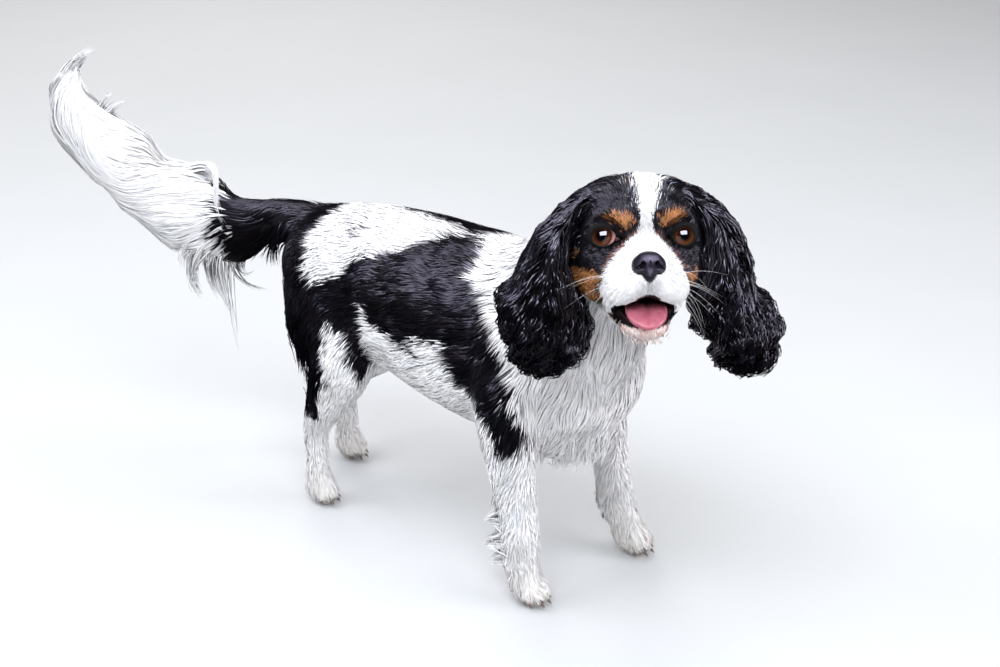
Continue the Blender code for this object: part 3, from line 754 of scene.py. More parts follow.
def build_skin(skin, ear, plume):
    """The one skin: trunk, legs, neck, ears and tail, with the finer head set over its core."""
    body = Volume(skin.low, skin.low, BODY_STEP, soft_join(skin.values, plume.values, 0.01))
    bp, bq = body.surface()
    ear_core = Volume(ear.low, ear.low, BODY_STEP, ear.values + EAR_DEPTH).blurred(3)
    at = ear_core.points()
    for side in (RIGHT, LEFT):
        root, hang = in_head(0.031 * side, -0.038, 0.021), beside_head(0.053 * side, -0.034, 0.011)
        ear_core.values = soft_join(ear_core.values, rod(at, root, hang, 0.013, 0.0085), 0.012)
        root, hang = in_head(0.038 * side, -0.04, -0.002), beside_head(0.06 * side, -0.034, -0.022)
        ear_core.values = soft_join(ear_core.values, rod(at, root, hang, 0.011, 0.008), 0.012)
    ep, eq = ear_core.surface()

    low, high = np.array((-0.062, -0.102, -0.084)), np.array((0.062, 0.054, 0.058))
    head = Volume(low, high, HEAD_STEP)
    head.values = head_skin(head.points()).astype(np.float32)
    hp, hq = head.surface()
    # the head's forms fade into the neck: what lies inside the neck's own skin isn't kept, nor is the core
    hp_dog = head_to_dog(hp)
    hq = hq[:, ::-1]
    keep = body.at(hp_dog) > -0.004
    hq = hq[keep[hq].any(1)]
    at_head = to_head(bp)
    inside = head_skin(at_head) < -0.0035
    inside |= (at_head[:, 1] > -0.045) & (np.linalg.norm(at_head, axis=1) < 0.085)
    bq = bq[~inside[bq].all(1)]
    parts = [(bp, bq), (ep, eq), (hp_dog, hq)]
    points, quads, base = [], [], 0
    for q_points, q_faces in parts:
        used = np.zeros(len(q_points), bool)
        used[q_faces.ravel()] = True
        remap = np.cumsum(used) - 1
        points.append(q_points[used])
        quads.append(remap[q_faces] + base)
        base += int(used.sum())
    marks = [len(points[0]), len(points[0]) + len(points[1])]
    return np.vstack(points), np.vstack(quads), marks, body, ear_core, head


# ---------------------------------------------------------------- lids, eyes, nose, tongue
GAZE = {RIGHT: unit(np.array((-0.19, 1.0, 0.07))), LEFT: unit(np.array((0.06, 1.0, 0.08)))}
LID_AXIS = {RIGHT: unit(np.array((-0.07, 1.0, 0.02))), LEFT: unit(np.array((0.12, 1.0, 0.02)))}
LID_HALF = {  # opening in degrees from the lids' axis: outer corner, upper lid, inner corner, lower lid
    RIGHT: (47, 37, 70, 39),
    LEFT: (44, 38, 50, 39),
}
# Across a lid from the eyeball out: degrees past the opening's edge, distance from the eye's centre
LID_PROFILE = [(-3.0, 0.0104), (-0.8, 0.01105), (0.8, 0.0116), (3.0, 0.0119), (5.5, 0.01205), (10.0, 0.0123),
               (18.0, 0.01265), (28.0, 0.0127), (36.0, 0.0122), (44.0, 0.0109)]


def eye_frame(side, axis):
    """Axes of an eye in the head's left, forward and up: outwards, upwards, along the axis."""
    outer = unit(np.cross(axis, np.array((0, 0, 1.0))))
    if outer[0] * side < 0:
        outer = -outer
    upper = np.cross(outer, axis)
    upper = upper if upper[2] > 0 else -upper
    return outer, upper, axis


def lid_opening(side, turn):
    """Half width of the opening, in degrees, at a turn round the axis (0 is the outer corner, 90 up)."""
    outer, up, inner, low = LID_HALF[side]
    c, s = math.cos(turn), math.sin(turn)
    wide = outer if c > 0 else inner
    tall = up if s > 0 else low
    power = 2.0 if c > 0 else 1.75
    return ((abs(c) / wide) ** power + (abs(s) / tall) ** power) ** (-1 / power)


def lids(side, steps=72):
    """Both lids of an eye as one ring: points in the dog's frame, faces, and how bare each point is."""
    outer, upper, axis = eye_frame(side, LID_AXIS[side])
    points, bare = [], []
    for i in range(steps):
        turn = 2 * math.pi * i / steps
        half = lid_opening(side, turn)
        puff = 0.0006 * math.sin(turn)
        for j, (past, reach) in enumerate(LID_PROFILE):
            a = math.radians(half + past)
            out = reach + (puff if j > 3 else 0.0)
            way = (outer * math.cos(turn) + upper * math.sin(turn)) * math.sin(a) + axis * math.cos(a)
            points.append(EYE_CENTRE[side] + way * out)
            bare.append(1.0 if j < 4 else 0.0)
    n = len(LID_PROFILE)
    faces = []
    for i in range(steps):
        k = (i + 1) % steps
        for j in range(n - 1):
            faces.append((i * n + j, k * n + j, k * n + j + 1, i * n + j + 1))
    points = np.array(points)
    faces = np.array(faces)
    # outwards is away from the eye's centre
    mid = points[faces[5]].mean(0) - EYE_CENTRE[side]
    a, b, c = (points[faces[5][k]] for k in range(3))
    if np.cross(b - a, c - a) @ mid >= 0:
        faces = faces[:, ::-1]
    return head_to_dog(points), faces, np.array(bare)


HAW = np.array((0.075, 0.036, 0.032))
HAW_SIZE = np.array((0.0023, 0.0024, 0.0017))


def haw(side):
    """The small pink mound in an eye's inner corner: points in the dog's frame and faces."""
    middle = np.array(TEAR_CORNER[side]) + np.array((0.0004 * side, -0.0038, 0.0002))
    around, rows = 16, 9
    points = [middle + np.array((0, 0, HAW_SIZE[2]))]
    for r in range(1, rows):
        a = math.pi * r / rows
        for k in range(around):
            t = 2 * math.pi * k / around
            way = np.array((math.sin(a) * math.cos(t), math.sin(a) * math.sin(t), math.cos(a)))
            points.append(middle + way * HAW_SIZE)
    points.append(middle - np.array((0, 0, HAW_SIZE[2])))
    k = np.arange(around)
    m = (k + 1) % around
    last, end = 1 + (rows - 2) * around, np.full(around, len(points) - 1)
    top = np.stack([0 * k, 1 + m, 1 + k, 1 + k], 1)
    bottom = np.stack([last + k, last + m, end, end], 1)
    sides = bands(rows - 1, around, 1)[:, [0, 3, 2, 1]]
    return head_to_dog(np.array(points)), np.vstack([top, sides, bottom])


def build_eye(side):
    """An eyeball with its clear front; the attribute 'off' is how far each point lies from the gaze."""
    outer, upper, axis = eye_frame(side, GAZE[side])
    rings, steps = 56, 72
    points, off, rise = [EYE_CENTRE[side] + axis * (EYE_RADIUS + 0.0007)], [0.0], [0.0]
    for r in range(1, rings):
        a = math.pi * (r / rings) ** 1.15
        swell = 0.0007 * (1 - min(1.0, a / math.radians(42)) ** 2) ** 2 if a < math.radians(42) else 0.0
        for k in range(steps):
            t = 2 * math.pi * k / steps
            way = (outer * math.cos(t) + upper * math.sin(t)) * math.sin(a) + axis * math.cos(a)
            points.append(EYE_CENTRE[side] + way * (EYE_RADIUS + swell))
            off.append(math.degrees(a))
            rise.append(float(way @ upper))
    points.append(EYE_CENTRE[side] - axis * EYE_RADIUS)
    off.append(180.0)
    rise.append(0.0)
    tris, last = [], 1 + (rings - 2) * steps
    for k in range(steps):
        m = (k + 1) % steps
        tris += [(0, 1 + k, 1 + m), (len(points) - 1, last + m, last + k)]
    tris, quads = np.array(tris), bands(rings - 1, steps, 1)
    points = np.array(points)
    a, b, c = (points[tris[0][k]] for k in range(3))
    if np.cross(b - a, c - a) @ (a - EYE_CENTRE[side]) >= 0:
        tris, quads = tris[:, ::-1], quads[:, ::-1]
    name = "eye_right_ball" if side == RIGHT else "eye_left_ball"
    return make_mesh(name, head_to_dog(points), [tris, quads], extras={"off": off, "rise": rise})


# The eye's colours by the angle from the gaze, 0 to 1 for 60 degrees: pupil, iris, its rim, the white.
EYE_BANDS = [
    (0.0, (0.0006, 0.0006, 0.001)), (0.27, (0.0006, 0.0006, 0.001)), (0.33, (0.008, 0.0028, 0.001)),
    (0.46, (0.016, 0.0052, 0.0016)), (0.6, (0.036, 0.0108, 0.0028)), (0.69, (0.01, 0.003, 0.0013)),
    (0.75, (0.003, 0.0015, 0.0015)), (0.8, (0.085, 0.038, 0.03)), (1.0, (0.17, 0.088, 0.077)),
]


def eye_material():
    """Dark amber iris with a large pupil, pale white of the eye, all under a wet clear coat."""
    n = Nodes("eye_amber")
    wobble = n.remap(n.noise(1400.0, 3.0), 0.25, 0.75, -2.2, 2.2)
    shifted = n.add("Math", {"operation": "ADD"}, _0=n.attribute("off"), _1=wobble)
    ramp = n.add("ValToRGB", Fac=n.remap(shifted.outputs[0], 0.0, 60.0, 0.0, 1.0))
    band = ramp.color_ramp
    while len(band.elements) < len(EYE_BANDS):
        band.elements.new(0.5)
    for element, (at, colour) in zip(band.elements, EYE_BANDS):
        element.position = at
        element.color = (*colour, 1)
    # painted shade: the eye is darker towards its top, where the upper lid's shadow falls, and lighter below
    shade = n.remap(n.attribute("rise"), -0.5, 0.3, 1.9, 0.25)
    iris = n.add("HueSaturation", Color=ramp.outputs["Color"], Value=shade)
    n.set(Base_Color=iris.outputs["Color"], Roughness=0.45, Specular_IOR_Level=0.0)
    return n.set(Coat_Weight=1.0, Coat_Roughness=0.015, Coat_IOR=1.5)


NOSE_MIDDLE = np.array((0, 0.036, -0.0155))
NOSE_SIZE = 0.9


def nose_field(p, nostrils=True):
    """Distance to the nose leather, with its wings, and its nostrils and middle groove unless left out."""
    p = NOSE_MIDDLE + (p - NOSE_MIDDLE) / NOSE_SIZE
    out = ball(p, (0, 0.04, -0.015), (0.0112, 0.0095, 0.0088))
    out = soft_join(out, ball(p, (0, 0.0425, -0.0225), (0.0052, 0.0066, 0.0078)), 0.004)
    for s in (RIGHT, LEFT):
        out = soft_join(out, ball(p, (0.0078 * s, 0.0402, -0.0178), (0.0058, 0.008, 0.0064)), 0.003)
        out = soft_join(out, ball(p, (0.003 * s, 0.044, -0.0128), (0.006, 0.006, 0.0048)), 0.004)
    if not nostrils:
        return out
    for s in (RIGHT, LEFT):
        out = soft_cut(out, ball(p, (0.0058 * s, 0.049, -0.0162), (0.0019, 0.0052, 0.0026)), 0.0012)
        out = soft_cut(out, ball(p, (0.0078 * s, 0.048, -0.0186), (0.0029, 0.0048, 0.0017)), 0.0012)
        out = soft_cut(out, ball(p, (0.0105 * s, 0.0462, -0.0196), (0.0024, 0.004, 0.001)), 0.001)
    return soft_cut(out, ball(p, (0, 0.0505, -0.022), (0.0004, 0.0022, 0.009)), 0.0012)


def build_nose():
    volume = Volume((-0.0165, 0.026, -0.034), (0.0165, 0.056, -0.002), NOSE_STEP)
    volume.values = nose_field(volume.points()).astype(np.float32)
    points, quads = volume.surface()
    obj = make_mesh("nose_leather_piece", head_to_dog(points), [quads[:, ::-1]])
    n = Nodes("nose_leather_black")
    pebble = n.add("TexVoronoi", {"feature": "DISTANCE_TO_EDGE"}, Scale=1500.0, Vector=n.place())
    edge = n.remap(pebble.outputs["Distance"], 0.0, 0.35, 0.0, 1.0)
    broad = n.noise(220.0, 3.0)
    colour = n.blend(n.remap(broad, 0.3, 0.7, 0.0, 1.0), (0.0036, 0.003, 0.0042), (0.008, 0.0068, 0.0092))
    n.set(Base_Color=colour, Roughness=n.remap(broad, 0.3, 0.7, 0.3, 0.42), Specular_IOR_Level=0.55)
    n.set(Specular_Tint=(0.96, 0.82, 1.0, 1), Normal=n.bump(edge, 0.55, 0.00025))
    return finish_piece(obj, n.material, ["nose"])


# down the tongue: forward, up, half width, half height
TONGUE = [
    (-0.01, -0.056, 0.0105, 0.004), (0.0, -0.054, 0.0135, 0.005), (0.01, -0.0525, 0.015, 0.0056),
    (0.019, -0.0532, 0.0157, 0.0054), (0.0265, -0.0558, 0.0152, 0.0046), (0.0325, -0.059, 0.0134, 0.0035),
    (0.037, -0.0618, 0.0098, 0.0026), (0.0392, -0.0636, 0.005, 0.0015),
]


def build_tongue():
    """The tongue: wide, wet, with a groove down its middle and thin raised sides."""
    around, along = 48, 40
    t = np.linspace(0, len(TONGUE) - 1, along)
    rows = np.array([[np.interp(x, range(len(TONGUE)), [s[k] for s in TONGUE]) for k in range(4)] for x in t])
    for _ in range(3):
        rows[1:-1] = 0.25 * rows[:-2] + 0.5 * rows[1:-1] + 0.25 * rows[2:]
    points = []
    for forward, up, wide, tall in rows:
        for k in range(around):
            a = 2 * math.pi * k / around
            c, s = math.cos(a), math.sin(a)
            x = wide * math.copysign(abs(c) ** 0.8, c)
            z = tall * math.copysign(abs(s) ** 0.75, s)
            if s > 0:
                across = x / wide
                groove = 0.0013 * math.exp(-(across / 0.1) ** 2) + 0.0006 * math.exp(-(across / 0.35) ** 2)
                z += 0.0007 * across ** 2 - groove * min(1.0, wide / 0.012)
            points.append((x, forward, up + z))
    points.append((0, rows[0][0] - 0.001, rows[0][1]))
    points.append((0, rows[-1][0] + 0.0012, rows[-1][1] - 0.0004))
    tris, last = [], (along - 1) * around
    for k in range(around):
        m = (k + 1) % around
        tris += [(len(points) - 2, m, k), (len(points) - 1, last + k, last + m)]
    quads, tris = bands(along, around)[:, [0, 3, 2, 1]], np.array(tris)
    dog = head_to_dog(np.array(points))
    a, b, c, d = (dog[quads[:, k]] for k in range(4))
    if np.einsum("ij,ij->i", a - dog.mean(0), np.cross(c - a, d - b)).sum() < 0:
        quads, tris = quads[:, ::-1], tris[:, ::-1]
    obj = make_mesh("tongue_piece", dog, [quads, tris])
    n = Nodes("tongue_wet")
    papilla = n.add("TexVoronoi", Scale=1500.0, Vector=n.place())
    patches = n.remap(n.noise(160.0, 3.0), 0.3, 0.7, 0.0, 1.0)
    colour = n.blend(patches, (0.36, 0.085, 0.125), (0.5, 0.14, 0.185))
    n.set(Base_Color=colour, Roughness=0.3, Specular_IOR_Level=0.5)
    n.set(Subsurface_Weight=0.25, Subsurface_Scale=0.004, Coat_Weight=0.35, Coat_Roughness=0.12)
    n.set(Normal=n.bump(papilla.outputs["Distance"], 0.4, 0.0003))
    return finish_piece(obj, n.material, ["tongue"])


# ---------------------------------------------------------------- stage, light and camera
def build_stage():
    rings, steps, reach = 24, 96, 14.0
    points = [(0.0, 0.0, 0.0)]
    for r in range(1, rings + 1):
        for k in range(steps):
            a = 2 * math.pi * k / steps
            d = reach * (r / rings) ** 2
            points.append((d * math.cos(a), d * math.sin(a), 0.0))
    tris = [(0, 1 + k, 1 + (k + 1) % steps) for k in range(steps)]
    floor = make_mesh("studio_floor", np.array(points) - STAND, [np.array(tris), bands(rings, steps, 1)])
    n = Nodes("pale_floor")
    n.set(Base_Color=n.blend(n.noise(5.0, 4.0), (0.57, 0.575, 0.57), (0.6, 0.605, 0.6)), Roughness=0.65)
    n.set(Specular_IOR_Level=0.25)
    floor.data.materials.append(n.material)
    floor.visible_glossy = False

    world = bpy.data.worlds.new("studio_air")
    world.use_nodes = True
    world.node_tree.nodes["Background"].inputs["Color"].default_value = (0.93, 0.95, 1.0, 1)
    world.node_tree.nodes["Background"].inputs["Strength"].default_value = 0.42
    bpy.context.scene.world = world
    world.cycles_visibility.glossy = False


def soft_box(name, at, aim, width, height, watts, colour, shows=True):
    """A soft lamp; one that doesn't show lights the dog but leaves no spot in its eyes or gloss."""
    light = bpy.data.lights.new(name, "AREA")
    light.shape = "RECTANGLE"
    light.size, light.size_y = width, height
    light.energy, light.color = watts, colour
    lamp = bpy.data.objects.new(name, light)
    lamp.location = at
    lamp.rotation_mode = "QUATERNION"
    lamp.rotation_quaternion = (Vector(aim) - Vector(at)).to_track_quat("-Z", "Y")
    lamp.visible_glossy = shows
    bpy.context.scene.collection.objects.link(lamp)
    return lamp


def build_lights():
    middle = (0.0, -0.05, 0.2)
    head = (-0.04, -0.28, 0.37)
    sky = soft_box("sky_box", (-1.02, -0.84, 1.8), head, 1.25, 0.95, 34, (0.88, 0.94, 1.0))
    side = soft_box("side_box", (-1.1, 0.85, 1.6), middle, 1.4, 1.0, 25, (0.88, 0.9, 1.0))
    top = soft_box("top_box", (0.1, 0.3, 2.5), middle, 1.8, 1.8, 30, (0.95, 0.96, 1.0))
    fill = soft_box("fill_box", (1.0, -2.3, 1.0), middle, 1.8, 1.4, 44, (0.94, 0.94, 1.0))
    soft_box("back_box", (1.6, 2.2, 1.6), middle, 1.4, 1.1, 26, (1.0, 0.985, 0.95), False)
    return [sky, side, top, fill]


def wet_glints(pieces, others):
    """A broad lamp that only the wet pieces catch, in place of the others, for the glint of eyes and nose."""
    lamp = soft_box("glint_box", (-0.5, -0.86, 1.18), (-0.04, -0.28, 0.37), 1.42, 0.8, 98, (0.77, 0.8, 1.0))
    wet = bpy.data.collections.new("wet_pieces")
    dull = bpy.data.collections.new("away_from_other_lamps")
    for piece in pieces:
        wet.objects.link(piece)
        dull.objects.link(piece)
    for entry in dull.collection_objects:
        entry.light_linking.link_state = "EXCLUDE"
    lamp.light_linking.receiver_collection = wet
    for other in others:
        other.light_linking.receiver_collection = dull


CAMERA_AT = (-1.12802, -1.0949, 0.852)
CAMERA_AZIMUTH = math.radians(-48.7)
CAMERA_ELEVATION = math.radians(22.5)


def build_camera():
    data = bpy.data.cameras.new("portrait_camera")
    data.sensor_width = 36.0
    data.lens = 68.4
    data.clip_start = 0.05
    camera = bpy.data.objects.new("portrait_camera", data)
    flat = math.cos(CAMERA_ELEVATION)
    aside, ahead = math.sin(CAMERA_AZIMUTH), math.cos(CAMERA_AZIMUTH)
    back = Vector((aside * flat, -ahead * flat, math.sin(CAMERA_ELEVATION)))
    camera.location = CAMERA_AT
    camera.rotation_mode = "QUATERNION"
    camera.rotation_quaternion = (-back).to_track_quat("-Z", "Y")
    bpy.context.scene.collection.objects.link(camera)
    bpy.context.scene.camera = camera
    bpy.context.scene.view_settings.view_transform = "Standard"
    bpy.context.scene.view_settings.look = "None"


# ---------------------------------------------------------------- the skin as a finished piece
MOUTH_DARK = np.array((0.014, 0.0045, 0.0055))
TAIL_BLACK_TO = 0.08


def tail_run(p):
    return (p - TAIL_ROOT) @ TAIL_BACK


def on_tail(p, beyond):
    """Which points of the skin are the tail's, from so far behind its root."""
    low = np.interp(tail_run(p), (-0.02, 0.03, 0.1), (-0.026, -0.034, -0.06))
    return (tail_run(p) > beyond) & (p[:, 2] - TAIL_ROOT[2] > low) & (p[:, 1] > 0.17)


def body_colour(p, rng):
    """Colours over the trunk, legs and tail together."""
    colour, black = trunk_colour(p, rng)
    run = tail_run(p)
    tail = on_tail(p, -0.004)
    dark = run < TAIL_BLACK_TO + 0.005 * ripple(p, 0.02, 21) + rng.normal(0, 0.003, len(p))
    under = (p[:, 1] > 0.196) & (p[:, 2] > 0.185)
    dark |= under & ~tail
    black = np.where(tail | under, dark, black)
    return np.where((tail | under)[:, None], np.where(dark[:, None], BLACK, WHITE), colour), black


def mouth_marks(h):
    """How far points of the head are from the open mouth's own surface."""
    return np.minimum(np.minimum(ball(h, *MOUTH_ROOF), ball(h, *MOUTH_FRONT)), ball(h, *MOUTH_TROUGH))


def lip_width(h):
    """How wide the black of the lips is: a rim above, broader along the lower jaw and at the corners."""
    lower = ease(-0.052, -0.054, h[:, 2])
    return mix(0.0028, mix(0.0036, 0.008, ease(0.014, 0.026, np.abs(h[:, 0]))), lower)


def skin_piece(skin, ear, plume):
    points, quads, marks, body, ear_core, head = build_skin(skin, ear, plume)
    rng = np.random.default_rng(3)
    colour, bare = np.zeros((len(points), 3)), np.zeros(len(points))
    a, b = marks
    colour[:a] = body_colour(points[:a], rng)[0]
    colour[a:b] = BLACK
    colour[b:] = head_colour(points[b:], rng)[0]
    h = to_head(points[b:])
    inside = mouth_marks(h)
    wide = lip_width(h)
    lip = ease(wide, wide - 0.0012, inside)
    deep = ease(0.0012, 0.0004, inside)
    face = mix(colour[b:], LIP, lip[:, None])
    face = mix(face, MOUTH_DARK, deep[:, None])
    by_eye = np.zeros(len(h))
    for side in (RIGHT, LEFT):
        d = np.linalg.norm(h - EYE_CENTRE[side], axis=-1)
        by_eye = np.maximum(by_eye, ease(0.015, 0.0135, d))
    by_eye = np.maximum(by_eye, ease(0.0016, 0.0008, nose_field(h, False)))
    face = mix(face, LIP, by_eye[:, None])
    colour[b:] = face
    bare[b:] = np.maximum(lip, deep * 0.8)
    pieces, faces, base = [points], [quads], len(points)
    lid_colours, lid_bare, lid_meshes = [], [], []
    for side in (RIGHT, LEFT):
        lp, lf, lb = lids(side)
        pieces.append(lp)
        faces.append(lf + base)
        base += len(lp)
        lid_colours.append(np.tile(LIP, (len(lp), 1)))
        lid_bare.append(lb)
        lid_meshes.append((lp, lf, lb))
    for side in (RIGHT, LEFT):
        hp, hf = haw(side)
        pieces.append(hp)
        faces.append(hf + base)
        base += len(hp)
        lid_colours.append(np.tile(HAW, (len(hp), 1)))
        lid_bare.append(np.ones(len(hp)))
    shown = points.copy()
    for side in (RIGHT, LEFT):
        mine = own_ear(points[a:b], side)
        shown[a:b][mine] = shape_ear(points[a:b][mine], side)
    pieces[0] = shown
    obj = make_mesh("skin", np.vstack(pieces), [np.vstack(faces)], np.vstack([colour] + lid_colours),
                    extras={"bare": np.concatenate([bare] + lid_bare)})
    flesh = [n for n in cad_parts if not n.startswith(("eye_", "nose", "tongue"))]
    finish_piece(obj, skin_material(), flesh)
    return points, quads, marks, body, ear_core, head, lid_meshes


# ---------------------------------------------------------------- how the coat lies
# Way of the hair at places of the body: place, direction, length. The first table's rows hold for both sides.
LIE_BOTH = [
    ((0.01, -0.05, 0.3), (0.0, 1.0, -0.05), 0.024), ((0.01, 0.05, 0.3), (0.0, 1.0, -0.02), 0.024),
    ((0.01, 0.14, 0.29), (0.0, 1.0, -0.2), 0.024), ((0.045, 0.0, 0.285), (0.1, 1.0, -0.22), 0.025),
    ((0.04, 0.12, 0.275), (0.1, 1.0, -0.3), 0.024), ((0.072, -0.05, 0.235), (0.0, 1.0, -0.3), 0.026),
    ((0.07, 0.03, 0.225), (0.0, 1.0, -0.24), 0.026), ((0.066, 0.1, 0.235), (0.0, 0.9, -0.4), 0.024),
    ((0.066, -0.03, 0.18), (0.0, 0.92, -0.42), 0.028), ((0.06, 0.05, 0.18), (0.0, 0.95, -0.3), 0.027),
    ((0.0, -0.04, 0.125), (0.0, 0.88, -0.45), 0.032), ((0.0, 0.04, 0.14), (0.0, 0.92, -0.32), 0.028),
    ((0.0, 0.1, 0.165), (0.0, 0.9, -0.4), 0.022), ((0.0, 0.205, 0.24), (0.0, 0.5, -0.86), 0.02),
    ((0.035, 0.19, 0.235), (0.0, 0.42, -0.9), 0.026), ((0.062, 0.135, 0.205), (0.0, 0.5, -0.86), 0.024),
    ((0.04, 0.18, 0.18), (0.0, 0.3, -0.95), 0.036), ((0.058, 0.09, 0.18), (0.0, 0.55, -0.84), 0.022),
    ((0.076, -0.1, 0.225), (0.0, 0.6, -0.8), 0.024), ((0.072, -0.135, 0.2), (0.0, 0.35, -0.94), 0.024),
    ((0.0, -0.12, 0.345), (0.0, 0.85, -0.5), 0.028), ((0.052, -0.11, 0.29), (0.0, 0.75, -0.66), 0.028),
    ((0.05, -0.165, 0.27), (0.0, 0.4, -0.92), 0.03), ((0.0, -0.215, 0.27), (0.0, 0.1, -1.0), 0.034),
    ((0.0, -0.2, 0.215), (0.0, 0.12, -1.0), 0.036), ((0.03, -0.185, 0.18), (0.0, 0.3, -0.95), 0.034),
    ((0.0, -0.175, 0.15), (0.0, 0.45, -0.9), 0.036), ((0.0, -0.12, 0.115), (0.0, 0.75, -0.66), 0.034),
    ((0.03, -0.11, 0.12), (0.0, 0.6, -0.8), 0.026),
]
LIE_OWN = [
    ((-0.06, -0.13, 0.15), (0.0, 0.2, -0.98), 0.018), ((0.066, -0.13, 0.15), (0.0, 0.2, -0.98), 0.018),
    ((-0.06, -0.142, 0.105), (0.0, 0.1, -1.0), 0.01), ((0.068, -0.144, 0.105), (0.0, 0.1, -1.0), 0.01),
    ((-0.082, -0.12, 0.11), (0.0, 0.25, -0.97), 0.011), ((0.09, -0.122, 0.11), (0.0, 0.25, -0.97), 0.011),
    ((-0.038, -0.12, 0.11), (0.0, 0.3, -0.95), 0.012), ((0.046, -0.122, 0.11), (0.0, 0.3, -0.95), 0.012),
    ((-0.058, -0.092, 0.12), (0.0, 0.6, -0.8), 0.028), ((0.066, -0.092, 0.12), (0.0, 0.6, -0.8), 0.028),
    ((-0.057, -0.098, 0.06), (0.0, 0.5, -0.87), 0.024), ((0.072, -0.1, 0.06), (0.0, 0.5, -0.87), 0.024),
    ((-0.056, -0.143, 0.05), (0.0, -0.08, -1.0), 0.008), ((0.074, -0.146, 0.05), (0.0, -0.1, -1.0), 0.008),
    ((-0.055, -0.15, 0.022), (0.0, -0.8, -0.6), 0.011), ((0.077, -0.164, 0.022), (0.0, -0.8, -0.6), 0.011),
    ((-0.074, -0.135, 0.018), (-0.25, -0.4, -0.85), 0.013),
    ((0.096, -0.147, 0.018), (0.25, -0.4, -0.85), 0.013),
    ((-0.036, -0.135, 0.018), (0.25, -0.4, -0.85), 0.013),
    ((0.058, -0.147, 0.018), (-0.25, -0.4, -0.85), 0.013),
    ((-0.055, -0.108, 0.014), (0.0, 0.55, -0.8), 0.014), ((0.077, -0.12, 0.014), (0.0, 0.55, -0.8), 0.014),
    ((-0.048, 0.095, 0.14), (0.0, 0.35, -0.94), 0.014), ((0.048, 0.105, 0.145), (0.0, 0.4, -0.92), 0.014),
    ((-0.045, 0.16, 0.13), (0.0, 0.3, -0.95), 0.026), ((0.045, 0.19, 0.13), (0.0, 0.3, -0.95), 0.026),
    ((-0.043, 0.132, 0.085), (0.0, 0.15, -0.98), 0.01), ((0.044, 0.182, 0.09), (0.0, 0.15, -0.98), 0.01),
    ((-0.043, 0.166, 0.08), (0.0, 0.1, -0.99), 0.014), ((0.044, 0.216, 0.085), (0.0, 0.1, -0.99), 0.014),
    ((-0.042, 0.14, 0.045), (0.0, -0.1, -0.99), 0.009), ((0.044, 0.19, 0.045), (0.0, -0.1, -0.99), 0.009),
    ((-0.042, 0.122, 0.02), (0.0, -0.8, -0.6), 0.011), ((0.044, 0.17, 0.02), (0.0, -0.8, -0.6), 0.011),
    ((-0.06, 0.14, 0.016), (-0.25, -0.35, -0.85), 0.011),
    ((0.062, 0.188, 0.016), (0.25, -0.35, -0.85), 0.011),
    ((-0.026, 0.14, 0.016), (0.25, -0.35, -0.85), 0.011),
    ((0.026, 0.188, 0.016), (-0.25, -0.35, -0.85), 0.011), ((-0.03, 0.225, 0.27), (-0.5, 0.75, -0.1), 0.03),
]
# The same for the head, as left, forward and up; rows off the middle count for both sides.
LIE_HEAD = [
    ((0, 0.03, -0.006), (0, -0.96, 0.25), 0.0045), ((0, 0.012, 0.0), (0, -0.75, 0.6), 0.005),
    ((0, 0.004, 0.014), (0, -0.35, 0.93), 0.0055), ((0, -0.006, 0.032), (0, -0.72, 0.68), 0.0085),
    ((0, -0.04, 0.046), (0, -1.0, 0.05), 0.013), ((0, -0.075, 0.034), (0, -0.85, -0.5), 0.017),
    ((0, -0.092, 0.005), (0, -0.4, -0.92), 0.02), ((0.016, 0.001, 0.004), (0.1, -0.35, 0.9), 0.0045),
    ((0.02, 0.003, 0.017), (0.35, -0.3, 0.88), 0.0065), ((0.012, -0.002, 0.026), (0.3, -0.6, 0.75), 0.0075),
    ((0.032, -0.004, 0.018), (0.65, -0.55, 0.5), 0.007), ((0.03, -0.035, 0.038), (0.8, -0.6, -0.12), 0.02),
    ((0.042, -0.018, 0.01), (0.5, -0.85, 0.05), 0.008), ((0.045, -0.04, 0.012), (0.55, -0.6, -0.58), 0.018),
    ((0.044, -0.022, -0.01), (0.3, -0.92, -0.2), 0.007),
    ((0.03, 0.002, -0.016), (0.5, -0.8, -0.35), 0.0045),
    ((0.016, 0.014, -0.012), (0.55, -0.75, 0.25), 0.0042),
    ((0.024, 0.02, -0.02), (0.62, -0.7, -0.3), 0.0048), ((0.03, 0.014, -0.032), (0.5, -0.62, -0.6), 0.0058),
    ((0.014, 0.038, -0.028), (0.75, -0.1, -0.65), 0.0042),
    ((0.005, 0.042, -0.032), (0.35, 0.1, -0.93), 0.0042),
    ((0.016, 0.034, -0.042), (0.45, -0.05, -0.9), 0.0062),
    ((0.028, 0.02, -0.046), (0.35, -0.35, -0.87), 0.0072),
    ((0.042, -0.02, -0.03), (0.35, -0.85, -0.4), 0.009),
    ((0.034, -0.01, -0.042), (0.3, -0.7, -0.65), 0.009), ((0.04, -0.05, -0.03), (0.25, -0.7, -0.67), 0.016),
    ((0, 0.026, -0.074), (0, -0.3, -0.95), 0.01), ((0.016, 0.014, -0.07), (0.25, -0.55, -0.8), 0.0115),
    ((0.022, -0.015, -0.066), (0.25, -0.75, -0.6), 0.011), ((0, -0.03, -0.072), (0, -0.7, -0.7), 0.018),
    ((0, 0.02, -0.062), (0, 0.4, -0.9), 0.005),
]


def both_sides(rows):
    out = list(rows)
    for place, way, length in rows:
        if abs(place[0]) > 1e-6:
            out.append(((-place[0], *place[1:]), (-way[0], *way[1:]), length))
    return out


